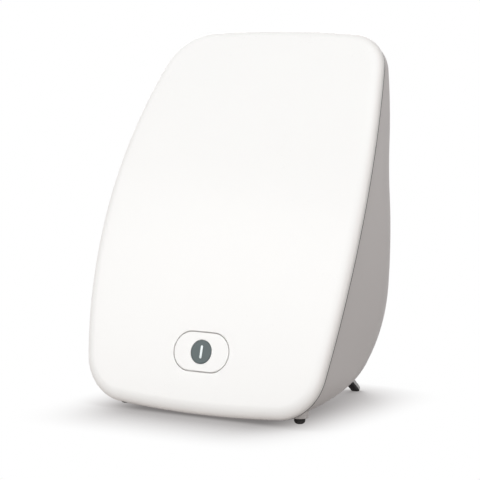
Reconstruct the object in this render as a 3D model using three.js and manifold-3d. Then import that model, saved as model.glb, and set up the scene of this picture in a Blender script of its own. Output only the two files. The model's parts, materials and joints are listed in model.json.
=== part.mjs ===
// A compact light therapy lamp: a white bowed light cover with an on and off key, a grey wedge-shaped
// housing behind it, two rubber feet under the front edge and a fold-out stand under the belly.
// Lengths are in millimetres and angles in radians. Z is up, the light shines towards -Y.
import * as THREE from "three";
import { mergeVertices } from "three/addons/utils/BufferGeometryUtils.js";
import Module from "manifold-3d";

const wasm = await Module();
wasm.setup();

const degree = Math.PI / 180;

// Fits that every piece shares
const clearance = 0.3; // between pieces that touch
const overrun = 1; // how far a cutter passes the face that it cuts
const runningGap = 0.4; // round a stem or barrel that moves
const sheetGap = 0.5; // between bowed sheets, whose facets don't match

// The front, seen square on: a trapezoid of arcs with round corners, leaning back
const faceChord = 300; // between the feet and the heads of the side arcs
const faceLowHalf = 100; // half its width at the feet of the side arcs
const faceHighHalf = 91.5;
const faceSideBow = 18.5;
const faceLowBow = 5.8;
const faceHighBow = 5.5;
const faceCorner = 38;
const faceBow = 15; // how far the middle stands forward in side view
const faceDome = 0.5; // the further swell of the middle over the rim
const faceTilt = 24 * degree;
const faceLift = 10; // height of the chord's foot over the floor
const faceCentreShare = 0.45; // where the rings close, as a share of the chord

// The white cover, with a rolled rim that curls back in to the joint
const coverWall = 2.4;
const rimWidth = 9;
const rimDepth = 5;
const rimCurl = 1.2;
const coverDepth = 7.2; // from the bowed face back to the joint
const tongueWall = 1.8; // the housing's locating tongue inside the cover
const tongueRise = 2.5;
const tongueRoot = 3.5;

// The grey housing: a vertical back, a wide round edge, and a belly that curves forward underneath
const housingWall = 2.6;
const backPlane = 131.7; // from the foot of the face's chord back to the back wall
const bellyBase = 2;
const bellyHeight = 94;
const bellyPower = 2.1;
const edgeRadius = 45.5;
const edgeShare = 0.75; // of the local depth, where that is less than the edge radius
const softShare = 0.9; // the most of a ring's own depth that its round takes
const wallDraft = 0.7;
const lipDepth = 8; // the plain wall along the bottom edge

// The key: a pill that slides straight in, with a round inlay and a light window in it
const keyHeight = 39; // up the face's chord
const keyHalfLength = 24.1;
const keyHalfWidth = 14.6;
const keyGap = 0.8;
const keyWall = 2.6;
const keyFlange = 2.2;
const keyFlangeThickness = 1.2;
const keyTravel = 1.5;
const keyStemRadius = 4;
const keyStemReach = 10; // from the face back to the stem's end
const dotRadius = 9;
const dotThickness = 1;
const barHalfLength = 5;
const barHalfWidth = 1;

// The plate behind the key, and the switch on its board
const guideDrop = 9;
const guideThickness = 2;
const guideHalfLength = 42;
const guideHalfWidth = 12;
const guideCollarWall = 2;
const guideScrewPlace = 36;
const switchGap = 2; // from the guide plate back to the switch
const switchHalf = 4.5;
const switchDepth = 4;
const switchBoreShare = 0.8;
const plungerRadius = 1.7;
const plungerSunk = 1.2;
const switchBoardHalfLength = 17;
const switchBoardHalfWidth = 9.5;
const postPlace = 13;
const postRadius = 2.2;
const stakeRadius = 1;
const stakeProud = 1.2;
const boardThickness = 1.6;

// The light box behind the cover
const trayFoot = 52; // its lower edge, up the face's chord
const trayFootBow = 1.5;
const trayFootCorner = 38;
const trayEdge = 10.5; // from the cover's outline in to the flange
const trayDrop = 8.6; // from the face back to the flange
const trayWall = 2;
const trayMouth = 21; // insets of the tray's opening and floor
const trayFloorInset = 28;
const trayDepth = 9.4; // from the flange back to the floor
const sheetInset = 17.5;
const sheetThickness = 1.2;
const backplateInset = 34;
const backplateThickness = 1.5;
const trayBossInset = 13.5;
const trayScrewHeightShares = [0.3, 0.83]; // of the face's chord
const backplateScrewHeightShares = [0.375, 0.775];
const backplateScrewPlace = 50;
const backplateBossRadius = 3.5;
const backplateBossLength = 6;

// The light strips
const ledBoardCount = 5;
const ledBoardHalfLength = 62;
const ledBoardHalfWidth = 6;
const ledBoardLowShare = 0.3; // heights of the lowest and highest strips on the chord
const ledBoardHighShare = 0.84;
const ledCount = 8;
const ledSize = 5;
const ledHeight = 1.4;

// Small screws, and the larger ones that hold the housing
const bossRadius = 3;
const screwShankRadius = 1.5;
const screwHeadRadius = 2.8;
const screwHeadHeight = 1.8;
const screwLength = 7;
const bossFloor = 2.6; // what a blind hole leaves under the face
const housingScrewPlace = 54;
const housingScrewHeightShares = [0.27, 0.78]; // of the face's chord
const housingBossRadius = 4.5;
const housingBossLength = 10;
const housingScrewRadius = 2;
const housingScrewLength = 10;
const housingHeadRadius = 3.7;
const housingHeadHeight = 2.6;
const crossHalfWidth = 0.5;
const crossDepth = 1.4;
const wellRadius = 4.6;
const wellWall = 2;
const wellFloor = 2.5;

// The back wall's vents and its bare plate
const ventCount = 6;
const ventPitch = 6.5;
const ventHalfLength = 32;
const ventHalfHeight = 1.3;
const ventHeightShares = [0.33, 0.775]; // of the face's chord
const plateHeight = 165;
const plateHalfLength = 35;
const plateHalfHeight = 17;
const plateThickness = 0.6;
const plateCorner = 2.5;

// The power inlet
const inletInset = 46; // in from the lower ends of the face's sides
const inletRise = 8.5; // over the top of the driver board
const inletRadius = 4;
const inletFlangeRadius = 6.2;
const inletFlangeThickness = 1.2;
const inletLength = 17;
const inletBoreRadius = 2.75;
const inletBoreDepth = 9;
const inletPinRadius = 1;
const inletPinSunk = 1;
const nutRadius = 6.2;
const nutThickness = 2.5;
const nutSides = 6;

// The driver board on the back wall
const driverStandoff = 2.5; // from the wall, at the board's foot
const driverHalfLength = 44;
const driverHalfHeight = 32;
const driverGap = 8.2; // over the stand's pocket
const driverScrewMargin = 5;
const driverBossRadius = 3.5;
const driverScrewReach = 5; // into its boss

// What stands on the driver board: places across and up from its middle
const capacitorRadii = [8, 5];
const capacitorLengths = [22, 16];
const capacitorPlaceShares = [[-0.55, -0.35], [-0.12, -0.5]];
const capacitorCrimp = 0.6;
const inductorRadius = 9;
const inductorLength = 12;
const inductorFlange = 1.6;
const inductorWaist = 2.4;
const inductorPlaceShare = [0.36, -0.3];
const sinkHalfLength = 16;
const sinkHalfHeight = 9;
const sinkDepth = 18;
const sinkFoot = 3;
const sinkFinCount = 6;
const sinkFinShare = 0.4; // of the fin pitch
const sinkPlaceShare = [-0.4, 0.5];
const plugHalfLength = 6;
const plugHalfHeight = 4;
const plugDepth = 9;
const ledPlugShare = [0.3, 0.62];
const inletPlugShare = [0.72, 0.3];
const switchPlugShare = [0.72, -0.55];
const terminalHalfLength = 7;
const terminalHalfHeight = 4;
const terminalDepth = 8;
const terminalPlace = 20;
const terminalHeightShare = 0.5;

// Wires
const wireRadius = 1.5;
const wireSides = 8;
const wireSteps = 15;
const wireBend = 9; // the straight lead out of each end

// The rubber feet under the front edge
const footInset = 21.5; // in from the lower ends of the face's sides
const footSetback = 22.8;
const footRadius = 4.5;
const footRound = 2.8;
const footSunk = 2.5;
const footSleeve = 2.2;
const footStemRadius = 2.2;
const footBarbRadius = 3.2;
const footBarbHeight = 2;

// The fold-out stand: a barrel across the belly with two legs
const standHingeHeight = 46;
const standHingeInset = 11; // forward of the belly's surface
const standSlope = 38 * degree; // of the legs below the horizontal when they stand
const standFold = 110 * degree;
const standInset = 44; // in from the lower ends of the face's sides
const standBarrelRadius = 5;
const legInset = 9; // in from the barrel's end
const legRootWidth = 9;
const legTipWidth = 6.4;
const legRootThickness = 6;
const legTipThickness = 5.4;
const shoeLength = 20; // the rubber under the tip, up to the tip's middle
const shoeThickness = 2.2;
const shoeFlat = 0.4;
const shoePegRadius = 1.2;
const shoePegHeight = 1.4;
const pinRadius = 2;
const pinReach = 12; // into the barrel
const pinHeadRadius = 3.3;
const pinHeadLength = 1.8;
const washerRadius = 4.6;
const washerThickness = 0.9;
const pocketWall = 2.4;
const pocketReach = 70; // past the belly's surface

// Facets
const roundSides = 16;
const smallSides = 8;
const outlineSteps = [2, 3, 5, 3, 2]; // bottom, corner, side, corner, top
const rimStepShares = [1, 0.75, 0.5, 0.25, 0]; // of a quarter turn, from the face out to the rim
const curlStepShares = [0.5, 1];
const innerRimStepShares = [0, 0.5, 1];
const edgeStepShares = [0, 0.2, 0.4, 0.6, 0.8, 1];
const faceRingShares = [0.25, 0.5, 0.75];
const sheetRingShares = [0.35, 0.7, 1];
const backRingShares = [0.93, 0.84, 0.73, 0.6, 0.44, 0.22];
const pillSteps = 5; // in each quarter turn of the key
const smallArcSteps = 1; // in each quarter turn of slots and small corners
const barArcSteps = 2;
const pocketSteps = 6;
const settleSteps = 12; // rounds that a height takes to settle on the bowed face

const plastics = {
  cover: { color: 0xfbfbf8, roughness: 0.25, metalness: 0 },
  housing: { color: 0xaaa6a5, roughness: 0.5, metalness: 0 },
  inlay: { color: 0x6e7a7c, roughness: 0.35, metalness: 0 },
  window: { color: 0xf4fcff, roughness: 0.3, metalness: 0 },
  inner: { color: 0xeeeeea, roughness: 0.6, metalness: 0 },
  diffuser: { color: 0xf6f6f2, roughness: 0.4, metalness: 0 },
  board: { color: 0x2f6b45, roughness: 0.5, metalness: 0 },
  lightBoard: { color: 0xf2f1e6, roughness: 0.45, metalness: 0 },
  black: { color: 0x2b2b2b, roughness: 0.55, metalness: 0 },
  rubber: { color: 0x1e1e1e, roughness: 0.85, metalness: 0 },
  stand: { color: 0xc4c1bf, roughness: 0.4, metalness: 0 },
  plate: { color: 0xc9c9c7, roughness: 0.5, metalness: 0 },
  nylon: { color: 0xe6e4da, roughness: 0.5, metalness: 0 },
  wire: { color: 0x303030, roughness: 0.6, metalness: 0 },
};
const metals = {
  steel: { color: 0xb4b6b8, roughness: 0.35, metalness: 1 },
  aluminium: { color: 0xc6c8ca, roughness: 0.4, metalness: 1 },
  capacitor: { color: 0x34363c, roughness: 0.4, metalness: 0.2 },
  ferrite: { color: 0x7a4a2a, roughness: 0.45, metalness: 0.6 },
};

const lamp = new THREE.Group();
const xAxis = new THREE.Vector3(1, 0, 0);
const faceUp = new THREE.Vector3(0, Math.sin(faceTilt), Math.cos(faceTilt));
const faceOut = new THREE.Vector3(0, -Math.cos(faceTilt), Math.sin(faceTilt));

function flat(x, y) {
  return new THREE.Vector2(x, y);
}

function point(x, y, z) {
  return new THREE.Vector3(x, y, z);
}

const footPlace = faceLowHalf - footInset;
const standHalfLength = faceLowHalf - standInset;
const legPlace = standHalfLength - legInset;
const pocketTop = standHingeHeight + standBarrelRadius + runningGap + pocketWall;
const driverHeight = pocketTop + driverGap + driverHalfHeight;
const inletPlace = faceLowHalf - inletInset;
const inletHeight = driverHeight + driverHalfHeight + inletRise;

// Solids

function solidOf(geometry) {
  const loose = geometry.index ? geometry.toNonIndexed() : geometry;
  const bare = new THREE.BufferGeometry();
  bare.setAttribute("position", loose.getAttribute("position"));
  const merged = mergeVertices(bare);
  const vertProperties = merged.getAttribute("position").array;
  const triVerts = new Uint32Array(merged.index.array);
  const made = new wasm.Manifold(new wasm.Mesh({ numProp: 3, vertProperties, triVerts }));
  if (made.volume() > 0) return made;
  // A profile that runs the other way leaves the faces pointing in
  return new wasm.Manifold(
    new wasm.Mesh({ numProp: 3, vertProperties, triVerts: triVerts.reverse() }),
  );
}

function geometryOf(solid) {
  const { numProp, vertProperties, triVerts } = solid.getMesh();
  const positions = new Float32Array((vertProperties.length / numProp) * 3);
  for (let i = 0; i < positions.length / 3; i++) {
    positions.set(vertProperties.subarray(i * numProp, i * numProp + 3), i * 3);
  }
  const geometry = new THREE.BufferGeometry();
  geometry.setAttribute("position", new THREE.BufferAttribute(positions, 3));
  geometry.setIndex(new THREE.BufferAttribute(triVerts, 1));
  geometry.computeVertexNormals();
  return geometry;
}

function join(solids) {
  return solids.reduce((sum, next) => sum.add(next));
}

function cut(solid, tools) {
  return tools.reduce((rest, tool) => rest.subtract(tool), solid);
}

function addPiece(name, solid, finish, parent = lamp) {
  const mesh = new THREE.Mesh(geometryOf(solid), new THREE.MeshStandardMaterial(finish));
  mesh.name = name;
  parent.add(mesh);
}

function solidFromPoints(points) {
  const geometry = new THREE.BufferGeometry().setFromPoints(points);
  return solidOf(geometry);
}

// A round bar from one end's centre to the other's
function rod(radius, from, to, sides = roundSides) {
  const along = to.clone().sub(from);
  const geometry = new THREE.CylinderGeometry(radius, radius, along.length(), sides);
  const upright = point(0, 1, 0);
  geometry.applyQuaternion(
    new THREE.Quaternion().setFromUnitVectors(upright, along.clone().normalize()),
  );
  const middle = from.clone().add(to).divideScalar(2);
  return solidOf(geometry.translate(middle.x, middle.y, middle.z));
}

// A block between two corners, given in a frame
function block(low, high, frame) {
  const size = high.clone().sub(low);
  const middle = low.clone().add(high).divideScalar(2);
  const geometry = new THREE.BoxGeometry(size.x, size.y, size.z);
  geometry.translate(middle.x, middle.y, middle.z);
  if (frame) geometry.applyMatrix4(frame);
  return solidOf(geometry);
}

// An outline pushed from one height to another along the frame's Z
function prism(shape, from, to, frame, curveSegments = smallArcSteps) {
  const settings = { depth: to - from, bevelEnabled: false, curveSegments };
  const geometry = new THREE.ExtrudeGeometry(shape, settings).translate(0, 0, from);
  if (frame) geometry.applyMatrix4(frame);
  return solidOf(geometry);
}

// A turned piece: radius and height pairs round the frame's Z
function turned(profile, frame, sides = roundSides) {
  const points = profile.map(([radius, height]) => flat(radius, height));
  const geometry = new THREE.LatheGeometry(points, sides).rotateX(Math.PI / 2);
  return solidOf(frame ? geometry.applyMatrix4(frame) : geometry);
}

function pill(halfLength, halfWidth) {
  const straight = halfLength - halfWidth;
  const shape = new THREE.Shape();
  shape.absarc(straight, 0, halfWidth, -Math.PI / 2, Math.PI / 2);
  shape.absarc(-straight, 0, halfWidth, Math.PI / 2, 1.5 * Math.PI);
  return shape;
}

function roundedPanel(halfLength, halfHeight, corner) {
  const shape = new THREE.Shape();
  const across = halfLength - corner;
  const up = halfHeight - corner;
  shape.absarc(across, -up, corner, -Math.PI / 2, 0);
  shape.absarc(across, up, corner, 0, Math.PI / 2);
  shape.absarc(-across, up, corner, Math.PI / 2, Math.PI);
  shape.absarc(-across, -up, corner, Math.PI, 1.5 * Math.PI);
  return shape;
}

// The bowed face

function bowAt(v) {
  const share = v / faceChord;
  return faceBow * 4 * share * (1 - share);
}

// A point of the face: u across, v up the chord, n forward of the chord
function facePoint(u, v, n) {
  const at = point(u, 0, faceLift);
  return at.addScaledVector(faceUp, v).addScaledVector(faceOut, n);
}

// A frame on the face: X across, Y up along it, Z straight out of it
function faceFrame(u, v) {
  const slope = ((faceBow * 4) / faceChord) * (1 - (2 * v) / faceChord);
  const along = faceUp.clone().addScaledVector(faceOut, slope).normalize();
  const outward = faceOut.clone().addScaledVector(faceUp, -slope).normalize();
  const frame = new THREE.Matrix4().makeBasis(xAxis, along, outward);
  return frame.setPosition(facePoint(u, v, bowAt(v)));
}

// The height up the chord at which a surface behind the face, at some drop, has a given height
function chordAt(z, drop) {
  let v = 0;
  for (let i = 0; i < settleSteps; i++) {
    const n = bowAt(v) - drop;
    v = (z - faceLift - n * Math.sin(faceTilt)) / Math.cos(faceTilt);
  }
  return v;
}

// Outlines of tangent arcs

function arcThrough(from, to, bow) {
  const chord = to.clone().sub(from);
  const half = chord.length() / 2;
  const radius = (half * half + bow * bow) / (2 * bow);
  const outward = flat(chord.y, -chord.x).normalize();
  const centre = from.clone().add(to).divideScalar(2).addScaledVector(outward, bow - radius);
  return { centre, radius };
}

// Where two circles cross, at the crossing nearer to a corner
function crossing(a, b, corner) {
  const across = b.centre.clone().sub(a.centre);
  const distance = across.length();
  const along = (a.radius ** 2 - b.radius ** 2 + distance ** 2) / (2 * distance);
  const aside = Math.sqrt(a.radius ** 2 - along ** 2);
  const foot = a.centre.clone().addScaledVector(across, along / distance);
  const square = flat(-across.y, across.x).divideScalar(distance);
  const both = [aside, -aside].map((reach) => foot.clone().addScaledVector(square, reach));
  return both.sort((p, q) => p.distanceTo(corner) - q.distanceTo(corner))[0];
}

function filletOf(a, b, radius, corner) {
  const inside = (arc) => ({ centre: arc.centre, radius: arc.radius - radius });
  return { centre: crossing(inside(a), inside(b), corner), radius };
}

function arcSamples(arc, from, to, steps) {
  return Array.from({ length: steps }, (_, i) => {
    const angle = from + ((to - from) * i) / steps;
    const normal = flat(Math.cos(angle), Math.sin(angle));
    return { at: arc.centre.clone().addScaledVector(normal, arc.radius), normal };
  });
}

// Samples of a trapezoid of arcs, each with its outward normal, from the bottom up the right side and round
function outlineOf({ low, high, lowHalf, highHalf, sideBow, lowBow, highBow, lowCorner, highCorner }) {
  const lowRight = flat(lowHalf, low);
  const highRight = flat(highHalf, high);
  const bottom = arcThrough(flat(-lowHalf, low), lowRight, lowBow);
  const side = arcThrough(lowRight, highRight, sideBow);
  const top = arcThrough(highRight, flat(-highHalf, high), highBow);
  const lowFillet = filletOf(bottom, side, lowCorner, lowRight);
  const highFillet = filletOf(side, top, highCorner, highRight);
  const heading = (from, to) => {
    const away = to.centre.clone().sub(from.centre);
    return Math.atan2(away.y, away.x);
  };
  const turns = [
    -Math.PI / 2,
    heading(bottom, lowFillet),
    heading(side, lowFillet),
    heading(side, highFillet),
    heading(top, highFillet),
    Math.PI / 2,
  ];
  const arcs = [bottom, lowFillet, side, highFillet, top];
  const right = arcs.flatMap((arc, i) => arcSamples(arc, turns[i], turns[i + 1], outlineSteps[i]));
  const left = right.slice(1).reverse();
  const crown = { at: flat(0, high + highBow), normal: flat(0, 1) };
  const mirrored = left.map(({ at, normal }) => ({
    at: flat(-at.x, at.y),
    normal: flat(-normal.x, normal.y),
  }));
  return [...right, crown, ...mirrored];
}

const faceOutline = outlineOf({
  low: 0,
  high: faceChord,
  lowHalf: faceLowHalf,
  highHalf: faceHighHalf,
  sideBow: faceSideBow,
  lowBow: faceLowBow,
  highBow: faceHighBow,
  lowCorner: faceCorner,
  highCorner: faceCorner,
});
const faceSide = arcThrough(flat(faceLowHalf, 0), flat(faceHighHalf, faceChord), faceSideBow);

function faceHalfAt(v) {
  const rise = v - faceSide.centre.y;
  return faceSide.centre.x + Math.sqrt(faceSide.radius ** 2 - rise ** 2);
}

// The light box follows the cover's sides and top, and ends above the key
function trayOutlineOf() {
  const lowHalf = faceHalfAt(trayFoot);
  const half = Math.hypot(faceChord - trayFoot, lowHalf - faceHighHalf) / 2;
  const sideBow = faceSide.radius - Math.sqrt(faceSide.radius ** 2 - half ** 2);
  return outlineOf({
    low: trayFoot,
    high: faceChord,
    lowHalf,
    highHalf: faceHighHalf,
    sideBow,
    lowBow: trayFootBow,
    highBow: faceHighBow,
    lowCorner: trayFootCorner,
    highCorner: faceCorner,
  });
}

const trayOutline = trayOutlineOf();
const faceMiddle = flat(0, faceChord * faceCentreShare);
const trayMiddle = flat(0, (trayFoot + faceChord) / 2);

// A ring parallel to an outline, drawn in towards its middle by a share
function ring(outline, inset, drop, middle = faceMiddle, share = 1) {
  return outline.map(({ at, normal }) => {
    const inside = at.clone().addScaledVector(normal, -inset);
    const p = middle.clone().lerp(inside, share);
    return facePoint(p.x, p.y, bowAt(p.y) - drop);
  });
}

function middlePoint(middle, drop) {
  return facePoint(middle.x, middle.y, bowAt(middle.y) - drop);
}

// Each four-sided facet is split along its shorter diagonal
function wallBetween(a, b) {
  return a.flatMap((p, i) => {
    const [q, c, d] = [b[i], a[(i + 1) % a.length], b[(i + 1) % b.length]];
    return p.distanceTo(d) < q.distanceTo(c) ? [p, q, d, p, d, c] : [p, q, c, c, q, d];
  });
}

// A closed skin over rings, from a point on the front round to a point on the back
function skin(front, rings, back) {
  const first = rings[0];
  const last = rings[rings.length - 1];
  const face = first.flatMap((p, i) => [front, p, first[(i + 1) % first.length]]);
  const walls = rings.slice(1).flatMap((next, i) => wallBetween(rings[i], next));
  const rear = last.flatMap((p, i) => [back, last[(i + 1) % last.length], p]);
  return solidFromPoints([...face, ...walls, ...rear]);
}

// A closed hoop whose section is a loop of rings
function hoop(rings) {
  const walls = rings.flatMap((next, i) => wallBetween(next, rings[(i + 1) % rings.length]));
  return solidFromPoints(walls);
}

// A bowed sheet of even thickness
function bowedSheet(outline, middle, inset, front, back) {
  const frontRings = sheetRingShares.map((share) => ring(outline, inset, front, middle, share));
  const backRings = sheetRingShares.map((share) => ring(outline, inset, back, middle, share));
  const rings = [...frontRings, ...backRings.reverse()];
  return skin(middlePoint(middle, front), rings, middlePoint(middle, back));
}

// Screws: the seat is under the head, and the shank runs from it along a direction
function screw(seat, along, shankRadius, shankLength, headRadius, headHeight, crossed = false) {
  const end = seat.clone().addScaledVector(along, shankLength);
  const top = seat.clone().addScaledVector(along, -headHeight);
  const inHead = seat.clone().addScaledVector(along, -headHeight / 2);
  const whole = rod(headRadius, top, seat, smallSides).add(
    rod(shankRadius, inHead, end, smallSides),
  );
  if (!crossed) return whole;
  const frame = new THREE.Matrix4().makeRotationFromQuaternion(
    new THREE.Quaternion().setFromUnitVectors(point(0, 0, 1), along),
  );
  frame.setPosition(top);
  const reach = headRadius / 2;
  const arms = [
    [reach, crossHalfWidth],
    [crossHalfWidth, reach],
  ];
  return cut(
    whole,
    arms.map(([x, y]) => block(point(-x, -y, -overrun), point(x, y, crossDepth), frame)),
  );
}

function smallScrew(seat, along, length = screwLength) {
  return screw(seat, along, screwShankRadius, length, screwHeadRadius, screwHeadHeight);
}

// The key's own frame, and how deep its pieces lie in it
const keyFrame = faceFrame(0, keyHeight);
const faceRoundRadius = (faceChord ** 2 / 4 + faceBow ** 2) / (2 * faceBow);
const keySag = (keyHalfWidth + keyFlange) ** 2 / (2 * faceRoundRadius);
const keyFlangeDrop = coverWall + faceDome + keySag + clearance;
const keyFlangeBack = keyFlangeDrop + keyFlangeThickness;
const guideBack = guideDrop + guideThickness;
const switchFront = guideBack + switchGap;
const switchBack = switchFront + switchDepth;
const switchBoardFront = switchBack + clearance;
const switchBoardBack = switchBoardFront + boardThickness;

function inFrame(frame, x, y, z) {
  return point(x, y, z).applyMatrix4(frame);
}

function frameRod(frame, radius, x, y, from, to, sides = smallSides) {
  return rod(radius, inFrame(frame, x, y, from), inFrame(frame, x, y, to), sides);
}

function outOf(frame) {
  return new THREE.Vector3().setFromMatrixColumn(frame, 2);
}

// Tray screws stand in from both sides of the face
function trayScrewFrames() {
  return trayScrewHeightShares.flatMap((share) => {
    const v = share * faceChord;
    return [-1, 1].map((side) => faceFrame(side * (faceHalfAt(v) - trayBossInset), v));
  });
}

function backplateScrewFrames() {
  return backplateScrewHeightShares.flatMap((share) =>
    [-1, 1].map((side) => faceFrame(side * backplateScrewPlace, share * faceChord)),
  );
}

// A blind boss on the cover's inside, down to a drop
function coverBoss(frame, x, drop) {
  const root = -coverWall / 2;
  const bore = frameRod(frame, screwShankRadius + clearance, x, 0, -bossFloor - faceDome, -drop - overrun);
  const body = frameRod(frame, bossRadius, x, 0, root, -drop);
  return { body, bore };
}

function coverSkin() {
  const quarter = Math.PI / 2;
  const rim = rimStepShares.map((share) => {
    const angle = share * quarter;
    const inset = rimWidth * (1 - Math.cos(angle));
    return ring(faceOutline, inset, faceDome + rimDepth * (1 - Math.sin(angle)));
  });
  const curl = curlStepShares.map((share) => {
    const angle = share * quarter;
    const drop = faceDome + rimDepth;
    const inset = rimCurl * (1 - Math.cos(angle));
    return ring(faceOutline, inset, drop + (coverDepth - drop) * Math.sin(angle));
  });
  const edge = ring(faceOutline, rimCurl + coverWall, coverDepth);
  const innerRim = innerRimStepShares.map((share) => {
    const angle = share * quarter;
    const inset = rimWidth - (rimWidth - coverWall) * Math.cos(angle);
    const drop = faceDome + rimDepth - (rimDepth - coverWall) * Math.sin(angle);
    return ring(faceOutline, inset, drop);
  });
  const dome = (extra) =>
    faceRingShares.map((share) => {
      const drop = faceDome * share * share + extra;
      return ring(faceOutline, rimWidth, drop, faceMiddle, share);
    });
  const rings = [...dome(0), ...rim, ...curl, edge, ...innerRim, ...dome(coverWall).reverse()];
  return skin(middlePoint(faceMiddle, 0), rings, middlePoint(faceMiddle, coverWall));
}

function frontCover() {
  const aperture = pill(keyHalfLength + keyGap, keyHalfWidth + keyGap);
  const window = prism(aperture, -keyFlangeBack, keyFlangeBack, keyFrame, pillSteps);
  const trayBosses = trayScrewFrames().map((frame) => coverBoss(frame, 0, trayDrop - clearance));
  const guideBosses = [-1, 1].map((side) =>
    coverBoss(keyFrame, side * guideScrewPlace, guideDrop - clearance),
  );
  const bosses = [...trayBosses, ...guideBosses];
  const whole = join([coverSkin().subtract(window), ...bosses.map(({ body }) => body)]);
  return cut(whole, bosses.map(({ bore }) => bore));
}

// The housing's shape

const housingDrop = coverDepth + clearance;

function seamPoint(v) {
  return facePoint(0, v, bowAt(v) - housingDrop);
}

// How far the belly has come back at a share of its height
function bellyShare(rise) {
  const share = Math.min(Math.max(rise, 0), 1);
  return (1 - (1 - share) ** bellyPower) ** (1 / bellyPower);
}

// The housing's depth behind the joint, straight back, for its outside or a skin inside it
function depthAt(v, inside) {
  const seam = seamPoint(v);
  const foot = lipDepth - inside;
  const full = backPlane - inside - seam.y;
  return foot + (full - foot) * bellyShare((seam.z - bellyBase - inside) / bellyHeight);
}

function backAt(z) {
  const v = chordAt(z, housingDrop);
  return seamPoint(v).y + depthAt(v, 0);
}

function housingRings(inside) {
  const edges = faceOutline.map(({ at, normal }) => {
    const start = at.clone().addScaledVector(normal, -rimCurl - inside);
    const reach = start.clone().sub(faceMiddle).dot(normal);
    const radius = Math.min(edgeRadius, edgeShare * depthAt(start.y, 0)) - inside;
    return { start, reach, radius: Math.max(radius, clearance) };
  });
  const ringAt = (angle, share) =>
    edges.map(({ start, reach, radius }) => {
      const drawn = 1 - (wallDraft + radius * (1 - Math.cos(angle))) / reach;
      const p = faceMiddle.clone().lerp(start, drawn * share);
      const depth = depthAt(p.y, inside);
      const round = Math.min(radius, depth * softShare) * (1 - Math.sin(angle));
      const back = depth - (share < 1 ? 0 : round);
      return facePoint(p.x, p.y, bowAt(p.y) - housingDrop).add(point(0, back, 0));
    });
  const quarter = Math.PI / 2;
  const round = edgeStepShares.map((share) => ringAt(share * quarter, 1));
  const fill = backRingShares.map((share) => ringAt(quarter, share));
  const v = faceMiddle.y;
  const rear = seamPoint(v).add(point(0, depthAt(v, inside), 0));
  return { rings: [...round, ...fill], rear };
}

function housingOutside() {
  const { rings, rear } = housingRings(0);
  const front = faceRingShares.map((share) =>
    ring(faceOutline, rimCurl, housingDrop, faceMiddle, share),
  );
  const lip = ring(faceOutline, rimCurl, housingDrop);
  return skin(middlePoint(faceMiddle, housingDrop), [...front, lip, ...rings], rear);
}

function housingHollow() {
  const { rings, rear } = housingRings(housingWall);
  const mouth = faceRingShares.map((share) =>
    ring(faceOutline, rimCurl + housingWall, housingDrop - overrun, faceMiddle, share),
  );
  const lip = ring(faceOutline, rimCurl + housingWall, housingDrop - overrun);
  return skin(middlePoint(faceMiddle, housingDrop - overrun), [...mouth, lip, ...rings], rear);
}

function tongueHoop(outer, inner, front, back) {
  return hoop([
    ring(faceOutline, outer, front),
    ring(faceOutline, inner, front),
    ring(faceOutline, inner, back),
    ring(faceOutline, outer, back),
  ]);
}

// A locating tongue that stands inside the cover's edge
function tongue(outside) {
  const outer = rimCurl + coverWall + runningGap;
  const inner = outer + tongueWall;
  const lip = tongueHoop(outer, inner, housingDrop - tongueRise, housingDrop + overrun);
  const root = tongueHoop(
    rimCurl + housingWall / 2,
    inner,
    housingDrop + clearance,
    housingDrop + tongueRoot,
  );
  return lip.add(root.intersect(outside));
}

// The housing's screws run straight forward into bosses behind the light box
const trayFloorFront = trayDrop + trayDepth;
const trayFloorBack = trayFloorFront + trayWall;
const screwForward = point(0, -1, 0);

function housingScrewPlaces() {
  return housingScrewHeightShares.flatMap((share) => {
    const z = share * faceChord;
    const v = chordAt(z, trayFloorBack);
    const floor = facePoint(0, v, bowAt(v) - trayFloorBack).y;
    const bossEnd = floor + housingBossLength;
    return [-1, 1].map((side) => ({ x: side * housingScrewPlace, z, floor, bossEnd }));
  });
}

function rodBack(radius, x, z, from, to, sides = roundSides) {
  return rod(radius, point(x, from, z), point(x, to, z), sides);
}

function screwWells(outside) {
  const behind = backPlane + overrun;
  const wells = housingScrewPlaces().map(({ x, z, bossEnd }) => {
    const floor = bossEnd + clearance;
    const tube = rodBack(wellRadius + wellWall, x, z, floor, behind).intersect(outside);
    const bore = rodBack(wellRadius, x, z, floor + wellFloor, behind);
    const hole = rodBack(housingScrewRadius + clearance, x, z, floor - overrun, behind, smallSides);
    return { tube, bore, hole };
  });
  return { add: wells.map(({ tube }) => tube), remove: wells.flatMap(({ bore, hole }) => [bore, hole]) };
}

const backInner = backPlane - housingWall;
const driverFoot = driverHeight - driverHalfHeight;
const driverBack = backAt(driverFoot) - housingWall - driverStandoff;
const driverFront = driverBack - boardThickness;

function driverScrewPlaces() {
  const across = driverHalfLength - driverScrewMargin;
  const up = driverHalfHeight - driverScrewMargin;
  return [-1, 1].flatMap((row) =>
    [-1, 1].map((side) => ({ x: side * across, z: driverHeight + row * up })),
  );
}

function driverBosses(outside) {
  const front = driverBack + clearance;
  const places = driverScrewPlaces();
  const add = places.map(({ x, z }) =>
    rodBack(driverBossRadius, x, z, front, backPlane, smallSides).intersect(outside),
  );
  const depth = front + driverScrewReach + clearance;
  const remove = places.map(({ x, z }) =>
    rodBack(screwShankRadius + clearance, x, z, front - overrun, depth, smallSides),
  );
  return { add, remove };
}

function ventSlots() {
  return ventHeightShares.flatMap((share) =>
    Array.from({ length: ventCount }, (_, i) => {
      const z = share * faceChord + (i - (ventCount - 1) / 2) * ventPitch;
      const frame = new THREE.Matrix4().makeRotationX(Math.PI / 2);
      frame.setPosition(0, backPlane + overrun, z);
      return prism(pill(ventHalfLength, ventHalfHeight), 0, housingWall + 2 * overrun, frame);
    }),
  );
}

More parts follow.
